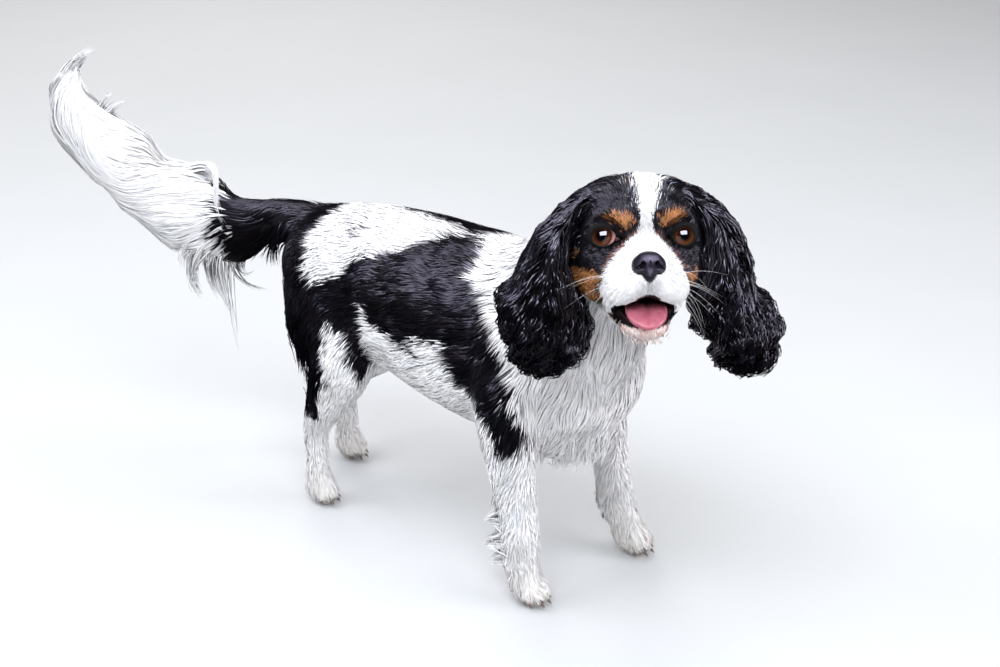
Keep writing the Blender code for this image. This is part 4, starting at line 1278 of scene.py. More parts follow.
LIE_BODY = both_sides(LIE_BOTH) + LIE_OWN
BODY_PLACES = [np.array(r[0]) for r in LIE_BODY]
BODY_VALUES = [np.array((*(np.array(r[1]) / np.linalg.norm(r[1])), r[2])) for r in LIE_BODY]
HEAD_ROWS = both_sides(LIE_HEAD)
HEAD_PLACES = [head_to_dog(np.array(r[0], float)[None])[0] for r in HEAD_ROWS]
HEAD_VALUES = [np.array((*unit(head_way(*r[1])), r[2])) for r in HEAD_ROWS]


def body_lie(p):
    """Way and length of the hair on the body."""
    v = blend_by_distance(p, BODY_PLACES, BODY_VALUES)
    return unit(v[:, :3]), v[:, 3]


def head_lie(p):
    v = blend_by_distance(p, HEAD_PLACES, HEAD_VALUES)
    return unit(v[:, :3]), v[:, 3]


def dot(a, b):
    return (a * b).sum(-1, keepdims=True)


def scatter(points, normals, quads, per_metre, rng):
    """Roots spread over a four-sided mesh, so many to the square metre at each of its points."""
    tri = np.vstack([quads[:, [0, 1, 2]], quads[:, [0, 2, 3]]])
    a, b, c = points[tri[:, 0]], points[tri[:, 1]], points[tri[:, 2]]
    area = 0.5 * np.linalg.norm(np.cross(b - a, c - a), axis=1)
    many = area * per_metre[tri].mean(1)
    pick = np.repeat(np.arange(len(tri)), np.floor(many + rng.random(len(many))).astype(int))
    u, v = rng.random((2, len(pick)))
    over = u + v > 1
    u, v = np.where(over, 1 - u, u)[:, None], np.where(over, 1 - v, v)[:, None]
    root = a[pick] + (b - a)[pick] * u + (c - a)[pick] * v
    na, nb, nc = (normals[tri[pick, k]] for k in range(3))
    return root, unit(na + (nb - na) * u + (nc - na) * v)


class HeadGround:
    """The head's skin, read in the dog's frame."""

    def __init__(self, volume):
        self.volume = volume

    def at(self, p):
        return self.volume.at(to_head(p))

    def outwards(self, p):
        return (self.volume.outwards(to_head(p)) * np.array((1, -1, 1))) @ HEAD_TURN.T


class Nearest:
    """Several grounds read as one: the nearest counts."""

    def __init__(self, *grounds):
        self.grounds = grounds

    def at(self, p):
        return np.min([g.at(p) for g in self.grounds], 0)

    def outwards(self, p):
        grad = []
        for axis in range(3):
            shift = np.zeros(3)
            shift[axis] = 0.0015
            grad.append(self.at(p + shift) - self.at(p - shift))
        return unit(np.stack(grad, -1))


class EyeMounds:
    """The rounds of the lids over both eyes, as ground for the hair near them."""

    def at(self, p):
        h = to_head(p)
        return np.minimum(*(np.linalg.norm(h - EYE_CENTRE[s], axis=-1) - 0.0121 for s in (RIGHT, LEFT)))


def over_eye(path):
    """Which hairs reach over an eye's opening."""
    h = to_head(path)
    over = np.zeros(path.shape[:2], bool)
    for side in (RIGHT, LEFT):
        outer, upper, axis = eye_frame(side, LID_AXIS[side])
        v = h - EYE_CENTRE[side]
        off = np.degrees(np.arccos(np.clip(unit(v) @ axis, -1, 1)))
        turn = np.arctan2(v @ upper, v @ outer)
        half = np.vectorize(lambda t: lid_opening(side, t))(turn)
        over |= (off < half + 2.5) & (np.linalg.norm(v, axis=-1) < 0.0175)
    return over.any(1)


def ways_out(path, ground):
    """The ground's way out at each point of the paths."""
    return np.stack([ground.outwards(path[:, k]) for k in range(path.shape[1])], 1)


def lay(root, normal, lie, length, height, steps, ground, veer, tuck=0.3, cling=0.004):
    """Hairs that leave the skin and then follow it: paths of steps + 1 points each.

    cling is how far they are drawn back to the skin at each step: a number, or found from where they are.
    """
    path = np.zeros((len(root), steps + 1, 3))
    path[:, 0] = root - normal * 0.0006
    here = root.copy()
    for k in range(1, steps + 1):
        way = lie(here)[0]
        out = ground.outwards(here)
        way = unit(way - out * dot(way, out))
        turn = veer(here, k / steps)[:, None]
        way = way * np.cos(turn) + np.cross(out, way) * np.sin(turn)
        here = here + way * (length / steps)[:, None]
        out = ground.outwards(here)
        gap = height * (k / steps) ** 0.5 * (1 - tuck * k / steps) - ground.at(here)
        hold = cling(here) if callable(cling) else cling
        here = here + out * np.clip(gap, -hold, 0.004)[:, None]
        path[:, k] = here
    return path


def gather(path, root, share, pinch, rng, power=1.3):
    """Draws hairs together into locks towards their tips: a share leads, the rest lean to the nearest."""
    n, steps = len(path), path.shape[1] - 1
    lead = np.flatnonzero(rng.random(n) < share)
    tree = KDTree(len(lead))
    for i, j in enumerate(lead):
        tree.insert(root[j], i)
    tree.balance()
    near = lead[np.array([tree.find(r)[1] for r in root])]
    pull = pinch[:, None, None] * (np.arange(steps + 1) / steps)[None, :, None] ** power
    centre = path[near]
    return centre + (path - centre) * (1 - pull), near


TUFT_PATCH = 0.003


def blades(path, out, width, colour, place, rng, *, root_shade, tip_light, flat, roll, comb, blunt=0.0,
           tilt=0.0, sway=0.0):
    """Closed three-sided tapered blades: points, face groups, colours, the map's places, normals."""
    n, rings = len(path), path.shape[1] - 1
    along = np.zeros_like(path)
    along[:, 1:-1] = path[:, 2:] - path[:, :-2]
    along[:, 0] = path[:, 1] - path[:, 0]
    along[:, -1] = path[:, -1] - path[:, -2]
    along = unit(along)
    across = unit(np.cross(along, out))
    tilt = np.broadcast_to(np.asarray(tilt, float), (n,))[:, None, None]
    sway = np.broadcast_to(np.asarray(sway, float), (n,))[:, None, None]
    combed = unit(np.cross(across, along) + across * tilt + along * sway) * comb
    turn = rng.normal(0, roll, n)[:, None, None]
    up = np.cross(across, along)
    across, up = across * np.cos(turn) + up * np.sin(turn), up * np.cos(turn) - across * np.sin(turn)
    s = np.arange(rings) / rings
    profile = 0.62 + 0.38 * np.sin(np.pi * np.minimum(s * 1.25 + 0.12, 1.0)) - (0.3 - blunt) * s ** 2
    w = (width[:, None] * profile[None])[..., None] * 0.5
    t = w * 2 * flat
    body = path[:, :rings]
    points = np.empty((n, rings * 3 + 1, 3))
    points[:, 0:-1:3] = body - across[:, :rings] * w
    points[:, 1:-1:3] = body + across[:, :rings] * w
    points[:, 2:-1:3] = body + up[:, :rings] * t
    points[:, -1] = path[:, -1]
    base = (np.arange(n) * (rings * 3 + 1))[:, None, None]
    quads = []
    for r in range(rings - 1):
        a, b = 3 * r, 3 * r + 3
        quads += [(b, b + 1, a + 1, a), (b + 1, b + 2, a + 2, a + 1), (b + 2, b, a, a + 2)]
    last, tip = 3 * (rings - 1), 3 * rings
    tris = [(tip, last + 1, last), (tip, last + 2, last + 1), (tip, last, last + 2), (0, 1, 2)]
    groups = []
    if quads:
        groups.append((base + np.array(quads)[None]).reshape(-1, 4))
    groups.append((base + np.array(tris)[None]).reshape(-1, 3))
    down = np.concatenate([s, [1.0]])[None, :]
    root_shade = np.broadcast_to(np.asarray(root_shade, float), (n,))[:, None]
    # painted shade towards each hair's root and painted light towards its tip
    shade = mix(root_shade, 1.0, ease(0.0, 0.45, down)) * (1 + tip_light * down)
    shade = shade[..., None]
    rows = np.concatenate([np.repeat(np.arange(rings), 3), [rings]])
    if colour.ndim == 2:
        colour = colour[:, None, :]
    tint = (colour * shade)[:, rows]
    side = np.concatenate([np.tile((-0.5, 0.5, 0.0), rings), [0.0]])
    lift = np.concatenate([np.repeat(s, 3), [1.0]]) - 0.5
    spot = np.stack([side, lift], -1)[None] * TUFT_PATCH
    mapped = np.clip(place, TUFT_PATCH, 1 - TUFT_PATCH)[:, None, :] + spot
    combed = combed[:, rows]
    return points.reshape(-1, 3), groups, tint.reshape(-1, 3), mapped.reshape(-1, 2), combed.reshape(-1, 3)


def coat_piece(name, material, made):
    """One piece of the coat from its blades."""
    points, groups, tints, flats, combed = made
    groups.sort(key=lambda g: g.shape[1])
    return finish_piece(make_mesh(name, points, groups, tints, flats, combed=combed), material)


PAINT_AT_ROOT = 0.45


def painted(path, paint, seed):
    """Colours of hairs at each of their points, by where the hair grows and by where the point lies."""
    colours, blacks = [], []
    for k in range(path.shape[1]):
        colour, black = paint(mix(path[:, k], path[:, 0], PAINT_AT_ROOT), np.random.default_rng(seed))
        colours.append(colour)
        blacks.append(black)
    return np.stack(colours, 1), np.stack(blacks, 1)


def hair_tones(colour, black, near, rng, each=0.14, lock=0.3):
    """Each lock and each hair a little lighter or darker than its neighbours, the black ones most."""
    n = len(colour)
    if colour.ndim == 3:
        toned = [hair_tones(colour[:, k], black[:, k], near, np.random.default_rng(17), each, lock)
                 for k in range(colour.shape[1])]
        return np.stack(toned, 1)
    apart = rng.normal(0, 1, n)
    shared = rng.normal(0, 1, n)[near]
    dark = np.exp(apart * each * 1.3 + shared * lock)
    pale = np.clip(1 + apart * each * 0.2 + shared * lock * 0.1, 0.85, 1.06)
    warm = rng.normal(0, 0.12, n)[near][:, None] * np.array((1.0, 0.1, -0.8))
    tint = np.where(black[:, None], 1 + warm, 1 + warm * 0.08)
    return np.clip(colour * np.where(black, dark, pale)[:, None] * tint, 0.002, 0.97)


def lock_tilts(near, lock, each, rng):
    """How far each hair's sheen leans to a side: the hairs of one lock lean together."""
    return rng.normal(0, lock, len(near))[near] + rng.normal(0, each, len(near))


# ---------------------------------------------------------------- the skin laid out flat for the coat's maps
def turn_share(a, b):
    return np.arctan2(a, b) / (2 * math.pi) + 0.5


def trunk_place(p):
    """Where points lie on the trunk's skin, rolled out flat."""
    return np.stack([(p[:, 1] + 0.3) / 0.6, turn_share(p[:, 0], p[:, 2] - ROUND_CENTRE)], -1)


def round_place(p, centre):
    """Where points lie on a rounded part of the skin: round it, and down from its top."""
    v = p - centre
    down = np.arccos(np.clip(v[:, 2] / np.maximum(np.linalg.norm(v, axis=1), 1e-9), -1, 1)) / math.pi
    return np.stack([turn_share(v[:, 0], v[:, 1]), down], -1)


def leg_place(p):
    """Each leg's skin rolled out in its own quarter of the map."""
    fore, left = p[:, 1] < 0, p[:, 0] > 0
    cx = np.where(fore, np.where(left, 0.072, -0.057), np.where(left, 0.044, -0.043))
    cy = np.where(fore, np.where(left, -0.125, -0.12), np.where(left, 0.178, 0.14))
    u = 0.02 + 0.22 * turn_share(p[:, 1] - cy, p[:, 0] - cx) + 0.25 * (fore * 2 + left)
    return np.stack([u, np.clip(p[:, 2] / 0.2, 0, 1)], -1)


EAR_MIDDLE = {RIGHT: np.array((-0.0995, -0.183)), LEFT: np.array((-0.003, -0.285))}
EAR_FOOT, EAR_HEIGHT = 0.235, 0.19


def ear_place(p, side):
    v = p[:, :2] - EAR_MIDDLE[side]
    return np.stack([turn_share(v[:, 1], v[:, 0]), (p[:, 2] - EAR_FOOT) / EAR_HEIGHT], -1)


def tail_place(p):
    v = p - TAIL_ROOT
    run = v @ TAIL_BACK
    rise = v[:, 2] - np.interp(run, [c[0] for c in TAIL_CORE], [c[1] for c in TAIL_CORE])
    return np.stack([(run + 0.04) / 0.28, turn_share(v @ TAIL_SIDE, rise)], -1)


# ---------------------------------------------------------------- body coat
FRONT_HAIRS = 188000.0
TRUNK_HAIRS = 250000.0
LEG_HAIRS = 247000.0
# Borders of the coat's pieces: how high the neck starts, and how far back the flanks and the rump.
NECK_FROM = 0.245
FLANK_FROM = -0.085
RUMP_FROM = 0.105
# The coat of the legs: its top, its inner side, where the belly lies between the pairs, and its longest hair.
LEG_TOP = 0.15
LEG_ASIDE = 0.018
BELLY_FROM = -0.06
BELLY_TO = 0.07
LEG_HAIR_TO = 0.028
# How far off the skin the tips may end, and how far from the thighs back.
TIP_REACH = 0.03
TIP_REACH_BEHIND = 0.009
THIGHS_FROM = 0.15


def veering(seed, broad, fine, wander):
    """How far hairs turn aside from the lie of the coat, smoothly over it and a little each by itself."""

    def veer(here, s):
        return broad * ripple(here, 0.04, seed) * s + fine * ripple(here, 0.014, seed + 1) + wander

    return veer


def body_coat(points, quads, body, outline, hair):
    """The coat of trunk, neck and legs, in pieces."""
    normals = body.outwards(points)
    rng = np.random.default_rng(41)
    z = points[:, 2]
    per_metre = np.where(points[:, 1] < FLANK_FROM, FRONT_HAIRS, TRUNK_HAIRS)
    per_metre = mix(per_metre, LEG_HAIRS, ease(0.15, 0.12, z))
    per_metre = np.where(head_skin(to_head(points)) < 0.0005, 0.0, per_metre)
    per_metre = np.where(on_tail(points, -0.01) | (z < 0.002), 0.0, per_metre)
    root, normal = scatter(points, normals, quads, per_metre, rng)
    _, length = body_lie(root)
    length = length * rng.uniform(0.75, 1.25, len(root))
    room = np.clip(-outline.at(root), 0.0022, 0.018)
    height = room * (0.9 - 0.62 * rng.random(len(root)) ** 1.8)
    wander = rng.normal(0, 0.06, len(root))
    back, side, high = root[:, 1], root[:, 0], root[:, 2]
    leg = (high < LEG_TOP) & (np.abs(side) > LEG_ASIDE) & (length < LEG_HAIR_TO)
    leg &= (back > BELLY_TO) | (back < BELLY_FROM)
    front = ~leg & (back < FLANK_FROM)
    middle = ~leg & (back >= FLANK_FROM) & (back < RUMP_FROM)
    regions = [
        ("coat_neck", front & (high >= NECK_FROM), 3),
        ("coat_chest", front & (high < NECK_FROM), 3),
        ("coat_flank_right", middle & (side < 0), 2),
        ("coat_flank_left", middle & (side >= 0), 2),
        ("coat_rump", ~leg & (back >= RUMP_FROM), 2),
        ("coat_legs", leg, 2),
    ]
    for name, pick, steps in regions:
        r, n, l = root[pick], normal[pick], length[pick]
        path = lay(r, n, body_lie, l, height[pick], steps, body, veering(71, 0.24, 0.08, wander[pick]))
        held = body.at(path[:, -1]) < np.where(r[:, 1] > THIGHS_FROM, TIP_REACH_BEHIND, TIP_REACH)
        path, r, n, l = path[held], r[held], n[held], l[held]
        path, near = gather(path, r, 0.06, rng.uniform(0.0, 0.4, len(r)), rng)
        colour, black = painted(path, body_colour, 401)
        colour = hair_tones(colour, black, near, rng)
        out = ways_out(path, body)
        width = mix(0.0009, 0.0016, ease(0.008, 0.03, l)) * rng.uniform(0.75, 1.25, len(r))
        tilt = lock_tilts(near, 0.17, 0.07, rng)
        sway = lock_tilts(near, 0.12, 0.05, rng) + 0.2 * ripple(r, 0.045, 33)
        if name == "coat_legs":
            place = leg_place(r)
        elif name in ("coat_neck", "coat_chest"):
            place = round_place(r, np.array((0.0, -0.09, 0.22)))
        else:
            place = trunk_place(r)
        shade = np.where(black[:, 0], 0.75, 1.0)
        made = blades(path, out, width, colour, place, rng, root_shade=shade, tip_light=0.02, flat=0.16,
                      roll=0.1, comb=0.8, tilt=tilt, sway=sway)
        coat_piece(name, hair, made)


# ---------------------------------------------------------------- coat of the face and crown
MUZZLE_HAIRS = 1060000.0
CHEEK_HAIRS = 735000.0
CROWN_HAIRS = 430000.0


def head_coat(points, quads, lid_meshes, head, outline, hair):
    """Short fur on the face, longer on cheeks and crown, none on nose, lids and lips."""
    ground = Nearest(HeadGround(head), EyeMounds())
    rng = np.random.default_rng(57)
    h = to_head(points)
    forward = h[:, 1]
    per_metre = mix(CROWN_HAIRS, CHEEK_HAIRS, ease(-0.045, -0.02, forward))
    per_metre = mix(per_metre, MUZZLE_HAIRS, ease(-0.006, 0.01, forward))
    bald = (nose_field(h, False) < 0.0009) | (mouth_marks(h) < 0.003)
    for side in (RIGHT, LEFT):
        bald |= np.linalg.norm(h - EYE_CENTRE[side], axis=-1) < 0.0122
    per_metre = np.where(bald, 0.0, per_metre)
    root, normal = scatter(points, ground.outwards(points), quads, per_metre, rng)
    for side, (lp, lf, lb) in zip((RIGHT, LEFT), lid_meshes):
        centre = head_to_dog(EYE_CENTRE[side][None])[0]
        on_lid = np.where(lb > 0.5, 0.0, MUZZLE_HAIRS)
        r, n = scatter(lp, unit(lp - centre), lf, on_lid, rng)
        clear = HeadGround(head).at(r) > -0.0002
        root, normal = np.vstack([root, r[clear]]), np.vstack([normal, n[clear]])
    _, length = head_lie(root)
    length = length * rng.uniform(0.75, 1.25, len(root))
    h = to_head(root)
    room = np.clip(-outline.at(root), 0.001, 0.011)
    face = ease(-0.03, 0.0, h[:, 1])
    room = np.minimum(room, mix(0.01, 0.0026, face * ease(-0.068, -0.06, h[:, 2])))
    height = room * rng.uniform(0.3, 0.95, len(root))
    wander = rng.normal(0, 0.09, len(root))
    parts = [("coat_face", h[:, 1] > -0.012, 2), ("coat_crown", h[:, 1] <= -0.012, 2)]
    for name, pick, steps in parts:
        r, n, l = root[pick], normal[pick], length[pick]
        path = lay(r, n, head_lie, l, height[pick], steps, ground, veering(81, 0.18, 0.12, wander[pick]), 0.2)
        clear = ~over_eye(path)
        path, r, n, l = path[clear], r[clear], n[clear], l[clear]
        path, near = gather(path, r, 0.1, rng.uniform(0.0, 0.4, len(r)), rng)
        colour, black = painted(path, head_colour, 402)
        colour = hair_tones(colour, black, near, rng, 0.1, 0.24)
        tilt = lock_tilts(near, 0.17, 0.08, rng)
        sway = lock_tilts(near, 0.14, 0.06, rng) + 0.12 * ripple(r, 0.02, 34)
        out = ways_out(path, ground)
        width = mix(0.00048, 0.0011, ease(0.004, 0.018, l)) * rng.uniform(0.75, 1.25, len(r))
        shade = np.where(black[:, 0], 0.75, 1.0)
        place = round_place(r, in_head(0, -0.03, -0.01))
        made = blades(path, out, width, colour, place, rng, root_shade=shade, tip_light=0.02, flat=0.22,
                      roll=0.15, comb=0.75, tilt=tilt, sway=sway)
        coat_piece(name, hair, made)


# ---------------------------------------------------------------- long hair of ears and tail
HAIR_CLEAR = 0.0006


def grow(root, normal, lie, length, depth, steps, ground, outline, stand, turn):
    """Long hairs: they stand off the skin, turn to the lie and settle so deep under the coat's outline."""
    path = np.zeros((len(root), steps + 1, 3))
    path[:, 0] = root - normal * 0.001
    here = root.copy()
    way = unit(normal * stand + lie(here))
    for k in range(1, steps + 1):
        way = unit(mix(way, lie(here), turn))
        here = here + way * (length / steps)[:, None]
        gap = outline.at(here) + depth
        here = here - outline.outwards(here) * np.clip(gap, -0.0035, 0.006)[:, None]
        sunk = np.clip(HAIR_CLEAR - ground.at(here), 0, 0.006)
        here = here + ground.outwards(here) * sunk[:, None]
        path[:, k] = here
    return path


def wavy(path, near, out, length, size, wave, curl, rng):
    """Adds the waves that the hairs of one lock share; they grow from the root."""
    n, steps = len(path), path.shape[1] - 1
    phase = rng.uniform(0, 2 * math.pi, n)[near] + rng.normal(0, 0.25, n)
    pitch = (wave * rng.uniform(0.8, 1.25, n))[near]
    s = np.arange(steps + 1) / steps
    along = unit(np.gradient(path, axis=1))
    side = unit(np.cross(along, out))
    up = np.cross(side, along)
    turn = phase[:, None] + 2 * math.pi * s[None] * (length / pitch)[:, None]
    reach = (size[near] * rng.uniform(0.85, 1.15, n))[:, None] * ease(0.0, 0.45, s)[None]
    swing = side * (np.sin(turn) * reach)[..., None] + up * (np.cos(turn) * reach * curl[:, None])[..., None]
    return path + swing


EAR_LIE = [
    ((0.026, -0.038, 0.042), (0.85, -0.22, -0.3)), ((0.038, -0.036, 0.034), (0.72, -0.12, -0.62)),
    ((0.05, -0.036, 0.022), (0.48, -0.05, -0.86)), ((0.06, -0.036, 0.0), (0.2, 0.0, -0.98)),
    ((0.064, -0.034, -0.035), (0.06, 0.02, -1.0)), ((0.064, -0.034, -0.09), (0.0, 0.0, -1.0)),
    ((0.036, -0.03, -0.02), (0.1, 0.0, -1.0)),
]
EAR_HAIRS = 2560
# Roots drawn for each square metre of the ear and of the skull's fold above it, before they are picked.
EAR_ROOTS = 260000.0
FOLD_ROOTS = 420000.0
# Where the ears' hair is drawn in or out, beside the head: place as out and up, shift.
EAR_SHAPING = {
    RIGHT: [
        ((0.0559, 0.0336), (-0.0041, -0.007)), ((0.0652, 0.0292), (-0.005, -0.0095)),
        ((0.0759, 0.0169), (-0.0072, -0.0054)), ((0.0819, 0.0071), (-0.0079, -0.0026)),
        ((0.087, -0.0078), (-0.0039, 0.0)), ((0.0906, -0.016), (-0.0035, -0.0017)),
        ((0.1026, -0.0391), (-0.0032, -0.0017)), ((0.1075, -0.0605), (0.0024, 0.0)),
        ((0.1078, -0.0771), (-0.0008, 0.0)), ((0.1042, -0.0937), (-0.0008, 0.0)),
        ((0.0878, -0.1187), (0.0, 0.0017)), ((0.0592, -0.1272), (0.0016, 0.0025)),
        ((0.0409, -0.1109), (-0.0008, 0.0)), ((0.0321, -0.0878), (0.0016, 0.0)),
        ((0.0359, -0.0646), (0.0016, 0.0)), ((0.0457, -0.038), (0.0035, 0.0)),
        ((0.0466, -0.0198), (0.0075, 0.0001)), ((0.0455, -0.0032), (0.0079, 0.0001)),
        ((0.0356, 0.038), (-0.0001, -0.002)), ((0.0737, -0.0609), (0.0, 0.0)),
        ((0.068, -0.0941), (0.0, 0.0)), ((0.0381, 0.0132), (0.0031, 0.0)),
    ],
    LEFT: [
        ((0.0493, 0.0342), (-0.0015, -0.0028)), ((0.0652, 0.0254), (-0.0054, -0.0033)),
        ((0.0766, 0.012), (-0.0075, -0.0008)), ((0.0817, 0.0004), (-0.0047, 0.0)),
        ((0.086, -0.0129), (-0.0024, 0.0)), ((0.0895, -0.0262), (-0.0016, 0.0)),
        ((0.0977, -0.0395), (-0.006, 0.0001)), ((0.1036, -0.0528), (-0.0094, 0.0001)),
        ((0.1086, -0.0628), (-0.0016, 0.0)), ((0.1134, -0.0794), (0.0019, 0.0)),
        ((0.1159, -0.0993), (-0.0028, 0.0)), ((0.1068, -0.1124), (0.0008, 0.0)),
        ((0.0884, -0.1263), (0.0, -0.0005)), ((0.0813, -0.1254), (0.0024, 0.0)),
        ((0.0628, -0.112), (0.0, 0.0)), ((0.0459, -0.0952), (0.0118, -0.0009)),
        ((0.0417, -0.0869), (-0.0016, 0.0)), ((0.0375, -0.0753), (-0.0008, 0.0)),
        ((0.0394, -0.0621), (-0.0016, 0.0)), ((0.0524, -0.0489), (-0.0094, 0.0001)),
        ((0.0521, -0.039), (-0.0039, 0.0)), ((0.0508, -0.0208), (-0.0016, 0.0)),
        ((0.0487, -0.0009), (0.0016, 0.0)), ((0.081, -0.0873), (0.0, 0.0)),
        ((0.0751, -0.0459), (-0.0024, 0.0)), ((0.0319, 0.0373), (0.0, -0.0017)),
    ],
}


def shape_ear(points, side, share=1.0):
    """Points of an ear drawn in or out to its own outline."""
    local = ((points - HEAD_AT) @ LEVEL_TURN).reshape(-1, 3)
    flat = local[:, [0, 2]] * np.array((side, 1))
    places = [np.array(place) for place, _ in EAR_SHAPING[side]]
    shifts = [np.array((shift[0] * side, 0.0, shift[1])) for _, shift in EAR_SHAPING[side]]
    moved = blend_by_distance(flat, places, shifts) @ LEVEL_TURN.T
    return points + moved.reshape(points.shape) * share


def own_ear(points, side):
    """Which points of the ears' skin belong to one side's ear."""
    away = {s: np.linalg.norm(points[:, :2] - EAR_MIDDLE[s], axis=1) for s in (RIGHT, LEFT)}
    return away[side] < away[-side]


def ear_coat(side, points, quads, ear_core, head_part, grounds, outline, hair):
    """One ear's hair: long smooth locks off the skull's side above, waves below, curls at its end."""
    rng = np.random.default_rng(91 if side == RIGHT else 92)
    area_rate = np.where(own_ear(points, side), EAR_ROOTS, 0.0)
    root, normal = scatter(points, ear_core.outwards(points), quads, area_rate, rng)
    on_ear = np.ones(len(root), bool)
    hp, hq = head_part
    h = to_head(hp)
    out, forward, up = h[:, 0] * side, h[:, 1], h[:, 2]
    fold = ease(0.022, 0.03, out) * ease(-0.012, -0.022, forward) * ease(-0.074, -0.06, forward)
    fold = fold * ease(0.0, 0.012, up)
    head_ground = grounds.grounds[1]
    r, n = scatter(hp, head_ground.outwards(hp), hq, FOLD_ROOTS * fold, rng)
    root, normal = np.vstack([root, r]), np.vstack([normal, n])
    on_ear = np.concatenate([on_ear, np.zeros(len(r), bool)])
    clear = np.flatnonzero(np.min([g.at(root) for g in grounds.grounds[1:]], 0) > -0.001)
    keep = clear[np.sort(rng.permutation(len(clear))[:EAR_HAIRS])]
    root, normal, on_ear = root[keep], normal[keep], on_ear[keep]
    places = [beside_head(o * side, f, u) for (o, f, u), _ in EAR_LIE]
    ways = [unit(LEVEL_TURN @ np.array((o * side, -f, u))) for _, (o, f, u) in EAR_LIE]

    def lie(p):
        return unit(blend_by_distance(p, places, ways))

    low = ease(0.38, 0.275, root[:, 2])
    length = mix(0.062, 0.034, low) * rng.uniform(0.75, 1.2, len(root))
    steps = 12
    depth = rng.uniform(-0.002, 0.0055, len(root))
    depth = np.where(on_ear, depth, rng.uniform(0.0015, 0.007, len(root)))
    stand = np.where(on_ear, 0.7, 0.12)[:, None]
    path = grow(root, normal, lie, length, depth, steps, grounds, outline, stand, 0.45)
    path, near = gather(path, root, 0.085, rng.uniform(0.35, 0.88, len(root)), rng, 0.8)
    around = ways_out(path, ear_core)
    size = mix(0.0017, 0.0048, low)
    wave = mix(0.03, 0.02, low)
    path = wavy(path, near, around, length, size, wave, mix(0.45, 1.0, low), rng)
    held = np.where(on_ear[:, None], 1.0, ease(0.0, 0.35, np.arange(steps + 1) / steps)[None])
    path = shape_ear(path, side, held[..., None])
    count = len(root)
    colour = hair_tones(np.tile(BLACK, (count, 1)), np.ones(count, bool), near, rng, 0.2, 0.4)
    width = rng.uniform(0.0009, 0.0023, count)
    tilt = lock_tilts(near, 0.45, 0.12, rng)
    made = blades(path, around, width, colour, ear_place(root, side), rng, root_shade=0.4, tip_light=0.3,
                  flat=0.4, roll=0.5, comb=0.55, blunt=0.1, tilt=tilt)
    coat_piece("coat_ear_right" if side == RIGHT else "coat_ear_left", hair, made)


# Way of the tail's hair at places along it: back from the root and up, for both place and way.
TAIL_LIE = [
    ((-0.02, 0.015), (1.0, -0.1)), ((0.02, 0.02), (1.0, -0.1)), ((0.02, -0.01), (0.85, -0.45)),
    ((0.06, 0.02), (1.0, -0.05)), ((0.055, -0.02), (0.65, -0.75)), ((0.085, 0.035), (1.0, -0.1)),
    ((0.085, 0.0), (0.8, -0.55)), ((0.105, 0.04), (0.95, -0.35)), ((0.11, 0.01), (0.85, -0.5)),
    ((0.125, -0.015), (0.95, -0.25)), ((0.13, 0.045), (1.0, 0.05)), ((0.14, 0.02), (0.95, -0.3)),
    ((0.155, 0.075), (1.0, 0.2)), ((0.16, 0.04), (0.98, 0.05)), ((0.165, 0.0), (0.95, 0.2)),
    ((0.185, 0.07), (0.85, 0.5)), ((0.195, 0.03), (0.75, 0.65)), ((0.205, 0.095), (0.6, 0.8)),
    ((0.23, 0.065), (0.35, 0.93)), ((0.23, 0.105), (0.05, 1.0)), ((0.222, 0.135), (-0.35, 0.93)),
    ((0.205, 0.155), (-0.7, 0.7)),
]
TAIL_HAIRS = 5300
TAIL_ROOTS = 400000.0
TAIL_TIP_HAIRS_TO = 0.148
TAIL_TIP_FROM = (0.2135, 0.124)


def tail_coat(points, quads, body, hair):
    """The plume: long waving locks over the whole tail, black at its root and white beyond."""
    rng = np.random.default_rng(103)
    rate = np.where(on_tail(points, -0.016), TAIL_ROOTS, 0.0)
    root, normal = scatter(points, body.outwards(points), quads, rate, rng)
    keep = np.sort(rng.permutation(len(root))[:TAIL_HAIRS])
    root, normal = root[keep], normal[keep]
    places = [along_tail(*place) for place, _ in TAIL_LIE]
    ways = [unit(TAIL_BACK * back + np.array((0, 0, up))) for _, (back, up) in TAIL_LIE]

    def lie(p):
        return unit(blend_by_distance(p, places, ways)), None

    def veer(here, done):
        return 0.34 * ripple(here, 0.055, 151) + 0.16 * ripple(here, 0.022, 152) + wander

    run = tail_run(root)
    count = len(root)
    length = mix(0.03, 0.058, ease(0.0, 0.08, run)) * rng.uniform(0.7, 1.25, count)
    wander = rng.normal(0, 0.06, count)
    height = mix(0.003, 0.005, ease(0.02, 0.08, run)) * rng.uniform(0.25, 1.0, count)
    steps = 6

    def cling(here):
        return 0.0016 * ease(0.15, 0.118, here[:, 2] - TAIL_ROOT[2])

    path = lay(root, normal, lie, length, height, steps, body, veer, 0.15, cling)
    low = path[:, -1, 2] - TAIL_ROOT[2] < TAIL_TIP_HAIRS_TO
    path, root, run, length = path[low], root[low], run[low], length[low]
    count = len(root)
    path, near = gather(path, root, 0.02, rng.uniform(0.15, 0.7, count), rng, 1.1)
    around = ways_out(path, body)
    seen = mix(tail_run(path), run[:, None], 0.3)
    border = TAIL_BLACK_TO + rng.normal(0, 0.009, count)[near] + rng.normal(0, 0.003, count)
    dark = seen < border[:, None]
    colour = hair_tones(np.where(dark[..., None], BLACK, WHITE), dark, near, rng)
    width = rng.uniform(0.0012, 0.0024, count)
    shade = np.where(dark[:, 0], 0.6, 1.0)
    tilt = lock_tilts(near, 0.22, 0.07, rng)
    sway = lock_tilts(near, 0.16, 0.05, rng)
    inner = (path[:, -1, 2] - TAIL_ROOT[2] > TAIL_TIP_FROM[1]) & (tail_run(path)[:, -1] < TAIL_TIP_FROM[0])
    stays = ~inner
    made = blades(path[stays], around[stays], width[stays], colour[stays], tail_place(root[stays]), rng,
                  root_shade=shade[stays], tip_light=0.02, flat=0.2, roll=0.15, comb=0.75,
                  tilt=tilt[stays], sway=sway[stays])
    coat_piece("coat_tail", hair, made)


